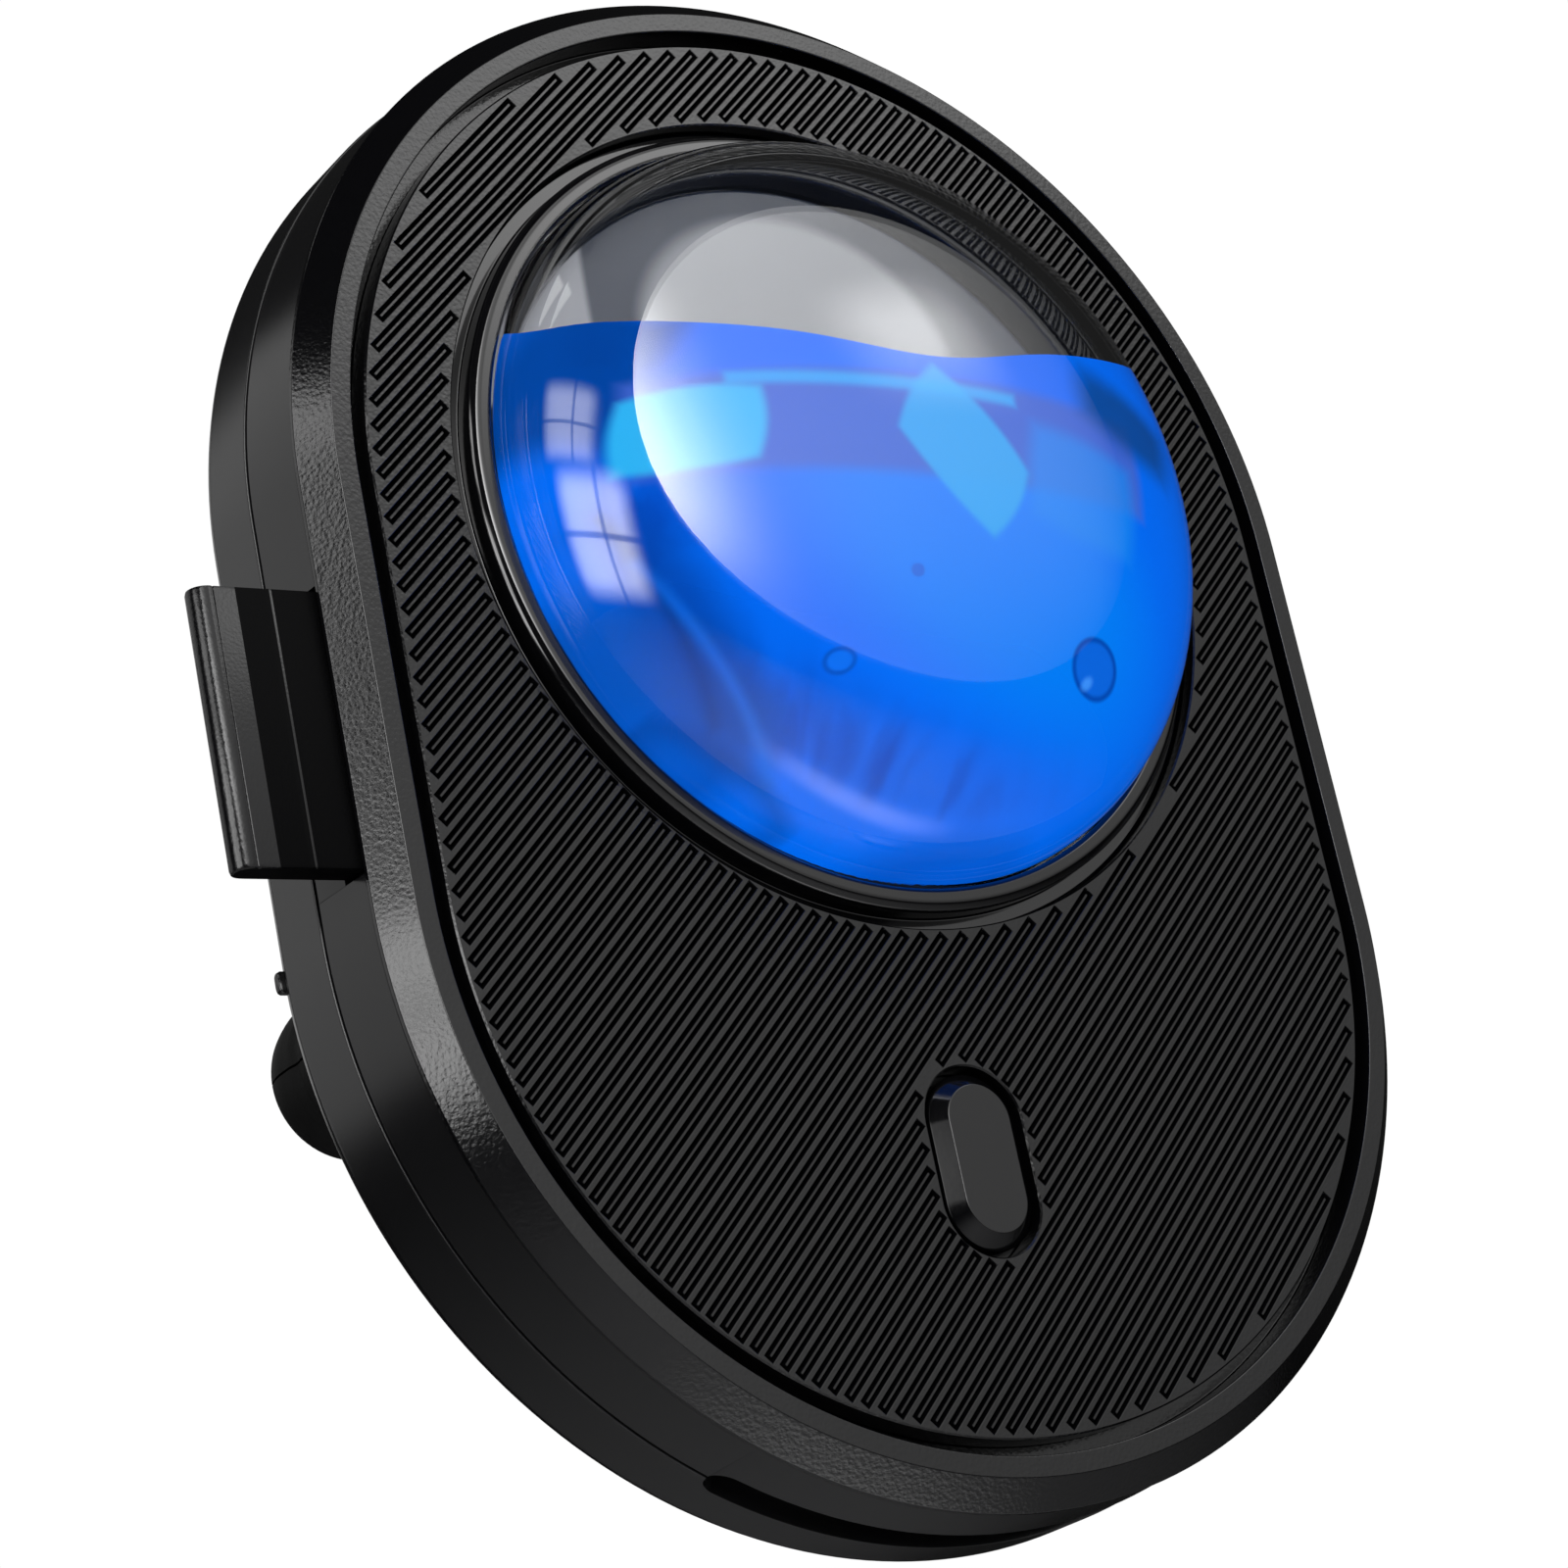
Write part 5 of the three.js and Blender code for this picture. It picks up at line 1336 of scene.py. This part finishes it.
@dataclass
class Controls:
    """The push button, the card tray and the bottom slot's contents."""

    button_z: float = -29.7
    button_half: float = 2.4
    flat: float = 2.25
    chamfer: float = 0.9
    proud: float = 0.35
    tray_front: float = 2.4
    tray_back: float = 4.4
    tray_outer: float = -45.4
    tray_inner: float = -27.1
    tray_low: float = -10.75
    tray_high: float = 6.55
    tray_groove: tuple[float, float, float] = (-44.3, -44.26, -44.18)
    tray_face: tuple[float, float] = (-44.12, -37.6)
    tray_shade: float = -42.7
    tray_ridge: float = -40.55
    ridge_half: float = 0.09

    def button(self) -> Piece:
        """The oblong button: satin top, wide gloss chamfer, skirt, flange and stem."""
        top = -self.proud
        wide = self.flat + self.chamfer
        corners = [
            (0.0, top), (self.flat, top), (wide, top + self.chamfer), (wide, 2.1), (4.4, 2.1), (4.4, 2.7),
            (1.4, 2.7), (1.4, 3.0), (0.0, 3.0),
        ]
        outline = eased(corners, [0, 0.05, 0.07, 0.05, 0.05, 0.05, 0.05, 0.05, 0], closed=False)
        middle = (outline[:-1] + outline[1:]) / 2
        tags = np.append(((middle[:, 0] > self.flat + 0.01) | (middle[:, 1] > 0)).astype(int), 0)
        track = Track.oval(self.button_z, self.button_half, 40)
        return make_piece(
            "push_button", solid_shell(outline, track, tags=tags), [Finishes.SATIN, Finishes.EDGE]
        )

    def tray(self) -> Piece:
        """The card tray's plate: rolled outer end, a fine groove, then a flat face with one fine ridge,
        painted in shade beyond tray_shade.

        The section runs in (x, depth) and is carried from the bottom of the tray to its top; its
        two ends are eased by shrinking the section over the last 0.25 mm.
        """
        front, back, outer, inner = self.tray_front, self.tray_back, self.tray_outer, self.tray_inner
        t = np.linspace(-np.pi / 2, np.pi / 2, 25)
        roll = np.stack([outer + 1.0 - np.cos(t), (front + back) / 2 + np.sin(t)], -1)[::-1]
        x = np.linspace(*self.tray_face, 40)
        depth = np.full(40, front + 0.02)
        ridge = 0.07 * np.exp(-(((x - self.tray_ridge) / self.ridge_half) ** 2))
        swell = np.stack([x, depth - ridge], -1)
        groove = np.stack([self.tray_groove, front + np.array([0.02, 0.1, 0.1])], -1)
        section = np.concatenate(
            [np.array([[inner, depth[-1]], [inner, back]]), [[-40.0, back]], roll, groove, swell]
        )
        low, high = self.tray_low, self.tray_high
        height = np.array([low, low + 0.06, low + 0.25, (low + high) / 2, high - 0.25, high - 0.06, high])
        shrink = np.array([0.2, 0.06, 0.0, 0.0, 0.0, 0.06, 0.2])
        middle = np.array([(outer + inner) / 2, (front + back) / 2])
        span = np.abs(section - middle).max(0)
        scaled = middle + (section - middle)[None] * (1 - shrink[:, None, None] / span)
        points = np.stack(
            [scaled[..., 0], scaled[..., 1], np.broadcast_to(height[:, None], scaled.shape[:2])], -1
        )
        body = grid_shell(points, False, True)
        count = len(section)
        body.loops = np.concatenate(
            [body.loops, np.arange(count)[::-1], (len(height) - 1) * count + np.arange(count)]
        )
        body.sizes = np.concatenate([body.sizes, [count, count]])
        # Painted shade: faces beyond tray_shade, but not the ridge, take the shaded copy of the finish.
        across = (section[:, 0] + np.roll(section[:, 0], -1)) / 2
        on_ridge = np.abs(across - self.tray_ridge) <= self.ridge_half
        shaded = ((across > self.tray_shade) & ~on_ridge).astype(int)
        body.tags = np.concatenate([np.tile(shaded, len(height) - 1), [1, 1]])
        return make_piece("tray_plate", body.outward(), [Finishes.PLATE, Finishes.SHADED])

    def build(self) -> None:
        """Makes the button and tray, and puts each on its own body."""
        install(self.button(), "button", ["power_button"])
        install(self.tray(), "tray", ["card_tray"])


# ---------------------------------------------------------------- the swivel and clip


@dataclass
class Mount:
    """The swivel and the vent clip, all turned about the depth axis."""

    ball_depth: float = 23.0
    ball: float = 6.5
    steps: int = 96
    blade: float = 2.8
    closing_from: float = 60.0
    closing_over: float = 4.0
    tip_gap: float = 0.1

    def ball_arc(self, radius: float, start: float, stop: float, steps: int) -> Array:
        """An arc about the ball's centre, from one polar angle to another, in degrees."""
        a = np.radians(np.linspace(start, stop, steps))
        return np.stack([radius * np.sin(a), self.ball_depth - radius * np.cos(a)], -1)

    def turned(self, name: str, outline: Array, finish: Finish) -> Piece:
        """A turned piece on the axis, open outline from the axis and back."""
        return make_piece(name, solid_shell(outline, Track.circle(0.0, 0.0, self.steps)), [finish])

    def socket(self) -> Piece:
        """The socket: flange, collar and spherical cup."""
        corners = [(0.0, 13.8), (11.0, 13.8), (11.0, 16.0), (9.4, 16.0), (9.4, 22.6), (7.49, 22.6)]
        rim = eased(corners, [0, 0.1, 0.35, 0.3, 0.2, 0.0], closed=False)
        return self.turned(
            "swivel_socket", np.concatenate([rim, self.ball_arc(7.5, 86, 0, 24)]), Finishes.SATIN
        )

    def nut(self) -> Piece:
        """The ring nut: twelve finger flutes fade out before its back face."""
        corners = [(9.65, 16.4), (12.0, 16.4), (12.0, 27.4), (10.8, 28.6), (6.0, 28.6)]
        outer = eased(corners, [0.1, 0.4, 0.5, 0.4, 0.1], closed=False)
        straight = np.stack([np.full(20, 12.0), np.linspace(17.2, 26.6, 20)], -1)
        split = int(np.argmax(outer[:, 1] > 20))
        rows = np.concatenate(
            [outer[:split], straight, outer[split:], self.ball_arc(6.8, 118, 92, 12), [[9.65, 23.24]]]
        )

        def flute(radius: Array, depth: Array, angle: Array, height: Array) -> tuple[Array, Array]:
            """The radius drops by up to 0.75 where cos(12 a) is high, on the outer wall only."""
            wave = np.clip(np.cos(12 * angle), 0, 1) ** 1.5
            fade = np.clip((27.6 - depth) / 1.6, 0, 1) * (radius > 11.2)
            return radius - 0.75 * wave * fade, depth

        shell = ring_shell(rows, Track.circle(0.0, 0.0, 240), flute)
        return make_piece("lock_nut", shell, [Finishes.SATIN])

    def stud(self) -> Piece:
        """The ball stud: ball, neck, flange and spigot."""
        neck = 180 - np.degrees(np.arcsin(3.2 / self.ball))
        corners = [
            (3.2, 29.4), (3.2, 32.5), (6.0, 32.5), (6.0, 34.5), (2.6, 34.5), (2.6, 42.5), (1.2, 42.5),
            (1.2, 37.5), (0.0, 37.5),
        ]
        rest = eased(corners, [0, 0.5, 0.3, 0.3, 0.1, 0.3, 0.1, 0.1, 0], closed=False)
        return self.turned(
            "swivel_stud", np.concatenate([self.ball_arc(self.ball, 0, neck, 40), rest]), Finishes.SATIN
        )

    def clip(self) -> Piece:
        """The clip's core: hub and disc, with four springy prongs behind."""
        corners = [
            (2.85, 34.75), (8.0, 34.75), (8.0, 37.25), (6.4, 37.25), (6.4, 45.95), (5.4, 46.95),
            (5.4, 48.9), (2.6, 48.9), (2.6, 44.5), (1.25, 44.5), (1.25, 43.0), (2.85, 43.0),
        ]
        hub = ring_shell(
            eased(corners, [0.1, 0.35, 0.35, 0.2, 0.4, 0.3, 0.05, 0.05, 0.05, 0.05, 0.05, 0.05]),
            Track.circle(0.0, 0.0, self.steps),
        )
        prong = eased([(2.6, 48.7), (5.4, 48.7), (5.4, 73.2), (2.6, 73.2)], 0.3)
        prongs = [wedge_shell(prong, self.blade / 2, quarter) for quarter in range(4)]
        return make_piece("clip_body", Shell.join([hub, *prongs]), [Finishes.SATIN])

    def pad(self, index: int) -> Piece:
        """One prong's rubber pad: a quarter sleeve with grip rings; the domed tips close behind the blade."""
        corners = [
            (5.6, 49.45), (6.6, 49.45), (6.6, 71.7), (6.1, 73.6), (5.1, 74.8), (3.5, 75.4), (3.5, 73.4),
            (5.6, 73.4),
        ]
        rows = eased(corners, [0.1, 0.25, 0.9, 0.6, 0.6, 0.3, 0.1, 0.1])
        outer = np.stack([np.full(60, 6.6), np.linspace(50.0, 70.6, 60)], -1)
        outer[:, 0] -= 0.16 * np.clip(np.sin((outer[:, 1] - 50.0) / 20.6 * 2 * np.pi * 8), 0, 1) ** 0.5
        split = int(np.argmax(rows[:, 1] > 60))
        section = np.concatenate([rows[:split], outer, rows[split:]])
        closing = np.clip((section[:, 1:2] - self.closing_from) / self.closing_over, 0.0, 1.0)
        half_gap = self.blade / 2 - (self.blade / 2 - self.tip_gap) * closing**2 * (3 - 2 * closing)
        return make_piece(
            f"grip_pad_{index + 1}", wedge_shell(section, half_gap, index, 18), [Finishes.RUBBER]
        )

    def build(self) -> None:
        """Makes the mount's pieces and puts each on its body."""
        install(self.socket(), "head", ["ball_socket"])
        install(self.nut(), "nut", ["ring_nut"])
        install(self.stud(), "stud", ["ball_stud"])
        install(self.clip(), "clip", ["clip_core"])
        for index in range(4):
            install(self.pad(index), "clip", [f"prong_pad_{index + 1}"])


# ---------------------------------------------------------------- carried-over nodes


@dataclass
class Internals:
    """Solid-model nodes whose shape is right, given their finishes."""

    finishes: dict[str, Finish] = field(default_factory=lambda: {
        "dome_gasket": Finishes.RUBBER, "fill_plug": Finishes.RUBBER, "light_guide": Finishes.MILKY,
        "button_switch": Finishes.STEEL, "inner_frame": Finishes.INNER, "main_board": Finishes.BOARD,
        "horn_antenna": Finishes.NICKEL, "battery": Finishes.FOIL, "gps_antenna": Finishes.CERAMIC,
        "laser_sensor": Finishes.INNER, "laser_window": Finishes.RED_WINDOW, "processor_can": Finishes.STEEL,
        "speaker_cone": Finishes.CLOTH, "speaker_magnet": Finishes.STEEL, "usb_shell": Finishes.NICKEL,
        "usb_tongue": Finishes.INNER, "sound_mesh_left": Finishes.CLOTH, "sound_mesh_right": Finishes.CLOTH,
        "memory_card": Finishes.CARD, "card_reader": Finishes.STEEL, "ball_seat": Finishes.RUBBER,
        "swivel_screw": Finishes.STEEL,
    })

    def dress(self) -> None:
        """Gives each carried-over node its material."""
        for name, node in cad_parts.items():
            finish = self.finishes.get(name)
            if finish is None and name.startswith("alert_led"):
                finish = Finishes.LED
            if finish is None and name.startswith("socket_screw"):
                finish = Finishes.STEEL
            if finish is None:
                continue
            node.data.materials.clear()
            node.data.materials.append(finish.material())
            LOG.info("%s keeps its solid shape, in %s", name, finish.name)


# ---------------------------------------------------------------- studio


class Fall(Enum):
    """How a softbox's brightness falls off over its face."""

    SIDE = "bright on one side"
    EDGES = "even, with soft edges"
    GLOW = "fading from the middle"
    WINDOW = "soft edges and two thin dark bars"


@dataclass
class Softbox:
    """An area light: where it is seen from the object, how far, how large and how bright."""

    name: str
    azimuth: float
    elevation: float
    distance: float
    width: float
    height: float
    radiance: float
    turn: float = 0.0
    round_shape: bool = False
    fall: Fall = Fall.EDGES

    def build(self, target: Vector) -> None:
        """Makes the light, facing the target; azimuth 0 is in front of the face and 90 to the right."""
        light = bpy.data.lights.new(self.name, "AREA")
        light.shape = "ELLIPSE" if self.round_shape else "RECTANGLE"
        light.size, light.size_y = self.width, self.height
        area = self.width * self.height * (np.pi / 4 if self.round_shape else 1.0)
        light.energy = self.radiance * area * np.pi
        lamp = bpy.data.objects.new(self.name, light)
        a, e = np.radians(self.azimuth), np.radians(self.elevation)
        away = Vector((np.sin(a) * np.cos(e), -np.cos(a) * np.cos(e), np.sin(e)))
        turn = Matrix.Rotation(np.radians(self.turn), 4, "Z")
        facing = away.to_track_quat("Z", "Y").to_matrix().to_4x4()
        lamp.matrix_world = Matrix.Translation(target + away * self.distance) @ facing @ turn
        lamp.visible_camera = False
        self.shade(light)
        bpy.context.scene.collection.objects.link(lamp)

    def shade(self, light: bpy.types.Light) -> None:
        """Shapes the light's brightness over its face."""
        light.use_nodes = True
        n = Nodes(light.node_tree)
        apart = n.add("ShaderNodeSeparateXYZ", {0: n.add("ShaderNodeNewGeometry").outputs["Parametric"]})
        u, v = apart.outputs[0], apart.outputs[1]
        if self.fall is Fall.SIDE:
            side = n.times(n.between(u, 0.0, 0.36, 14.0, 0.0), n.between(v, 0.1, 0.5, 0.12, 1.0))
            slope = n.times(n.minus(1.0, u), 3.2)
            strength = n.plus(side, n.times(slope, n.between(v, 0.1, 0.5, 0.5, 1.0)))
        else:
            soft = {Fall.GLOW: 0.45, Fall.WINDOW: 0.24}.get(self.fall, 0.1)
            across = n.times(n.between(u, 0.0, soft, 0.0, 1.0), n.between(u, 1 - soft, 1.0, 1.0, 0.0))
            along = n.times(n.between(v, 0.0, soft, 0.0, 1.0), n.between(v, 1 - soft, 1.0, 1.0, 0.0))
            strength = n.times(across, along)
            if self.fall is Fall.WINDOW:
                for axis, place in ((u, 0.6), (v, 0.5)):
                    off = n.maths("ABSOLUTE", n.minus(axis, place))
                    strength = n.times(strength, n.between(off, 0.008, 0.035, 0.3, 1.0))
        glow = n.add("ShaderNodeEmission", {"Strength": strength})
        out = n.add("ShaderNodeOutputLight")
        n.tree.links.new(glow.outputs[0], out.inputs[0])


@dataclass
class Studio:
    """White sweep, pale floor, softboxes and the camera."""

    floor: float = -0.6
    target: tuple[float, float, float] = (0.0, -0.06, 0.0)
    camera_at: tuple[float, float, float] = (-0.15176, -0.24888, -0.08667)
    right: tuple[float, float, float] = (0.8208, -0.5372, -0.1944)
    up: tuple[float, float, float] = (-0.0271, -0.3765, 0.926)
    lens: float = 95.08
    fill: float = 0.012

    def lights(self) -> list[Softbox]:
        """The softboxes, each placed for one reflection of the black plastic and the dome."""
        return [
            Softbox("key_disc", 17.0, 22.0, 0.55, 1.51, 1.18, 1.0, round_shape=True, fall=Fall.SIDE),
            Softbox("top_glow", 36.0, 36.0, 0.55, 0.36, 0.26, 3.0, fall=Fall.GLOW),
            Softbox("window_high", -76.0, 31.0, 0.6, 0.34, 0.24, 6.0, turn=-12.0, fall=Fall.WINDOW),
            Softbox("window_middle", -72.0, 2.0, 0.6, 0.46, 0.42, 9.5, turn=-10.0, fall=Fall.WINDOW),
            Softbox("low_strip", 20.0, -78.0, 0.45, 0.6, 0.14, 2.2, fall=Fall.GLOW),
            Softbox("rear_left", -140.0, 20.0, 0.7, 0.5, 0.7, 0.75),
            Softbox("high_left", -126.0, 62.0, 0.6, 0.16, 0.12, 2.5),
            Softbox("rear_fill", 176.0, 22.0, 0.8, 0.5, 0.4, 0.5),
        ]

    def build(self) -> None:
        """Sets up world, floor, lights and camera."""
        self.world()
        self.floor_plane()
        for light in self.lights():
            light.build(Vector(self.target))
        self.camera()

    def world(self) -> None:
        """White behind the object, near black for everything the object reflects."""
        world = bpy.data.worlds.new("sweep")
        bpy.context.scene.world = world
        world.use_nodes = True
        n = Nodes(world.node_tree)
        seen = n.add("ShaderNodeLightPath").outputs["Is Camera Ray"]
        strength = n.maths("MULTIPLY_ADD", seen, 1.0, self.fill)
        back = n.add("ShaderNodeBackground", {"Color": (1.0, 1.0, 1.0, 1.0), "Strength": strength})
        out = n.add("ShaderNodeOutputWorld")
        n.tree.links.new(back.outputs[0], out.inputs["Surface"])

    def floor_plane(self) -> None:
        """A pale floor: a shallow grid with a softly uneven tone."""
        u = np.linspace(-2.0, 2.0, 9)
        x, y = np.meshgrid(u, u, indexing="ij")
        mesh = bpy.data.meshes.new("floor")
        grid = grid_shell(np.stack([x, y, np.full_like(x, self.floor)], -1), False, False)
        mesh.from_pydata(grid.points.tolist(), [], grid.loops.reshape(-1, 4).tolist())
        floor = bpy.data.objects.new("floor", mesh)
        bpy.context.scene.collection.objects.link(floor)
        mesh.materials.append(
            Plastic("floor_paint", (0.55, 0.55, 0.56), 0.8, Grain.FINE, 40.0, 0.0001, 0.1).material()
        )

    def camera(self) -> None:
        """The camera, from its own right and up directions."""
        data = bpy.data.cameras.new("view")
        data.lens, data.sensor_width = self.lens, 36.0
        data.clip_start, data.clip_end = 0.01, 20.0
        camera = bpy.data.objects.new("view", data)
        right = Vector(self.right).normalized()
        up = Vector(self.up)
        back = right.cross(up).normalized()
        up = back.cross(right)
        matrix = Matrix((right, up, back)).transposed().to_4x4()
        camera.matrix_world = Matrix.Translation(Vector(self.camera_at)) @ matrix
        bpy.context.scene.collection.objects.link(camera)
        bpy.context.scene.camera = camera
        bpy.context.scene.view_settings.view_transform = "Standard"


# ---------------------------------------------------------------- assembly


def corners(box: tuple[Vector, Vector]) -> list[list[float]]:
    """A box's corners as plain lists."""
    return [[float(v) for v in corner] for corner in box]


def main() -> None:
    """Builds every sub-assembly, then the studio."""
    logging.basicConfig(level=logging.INFO, format="%(message)s")
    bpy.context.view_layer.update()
    Case().build()
    RibPanel().build()
    Dome().build()
    Controls().build()
    Mount().build()
    Internals().dress()
    Studio().build()


if __name__ == "__main__":
    main()
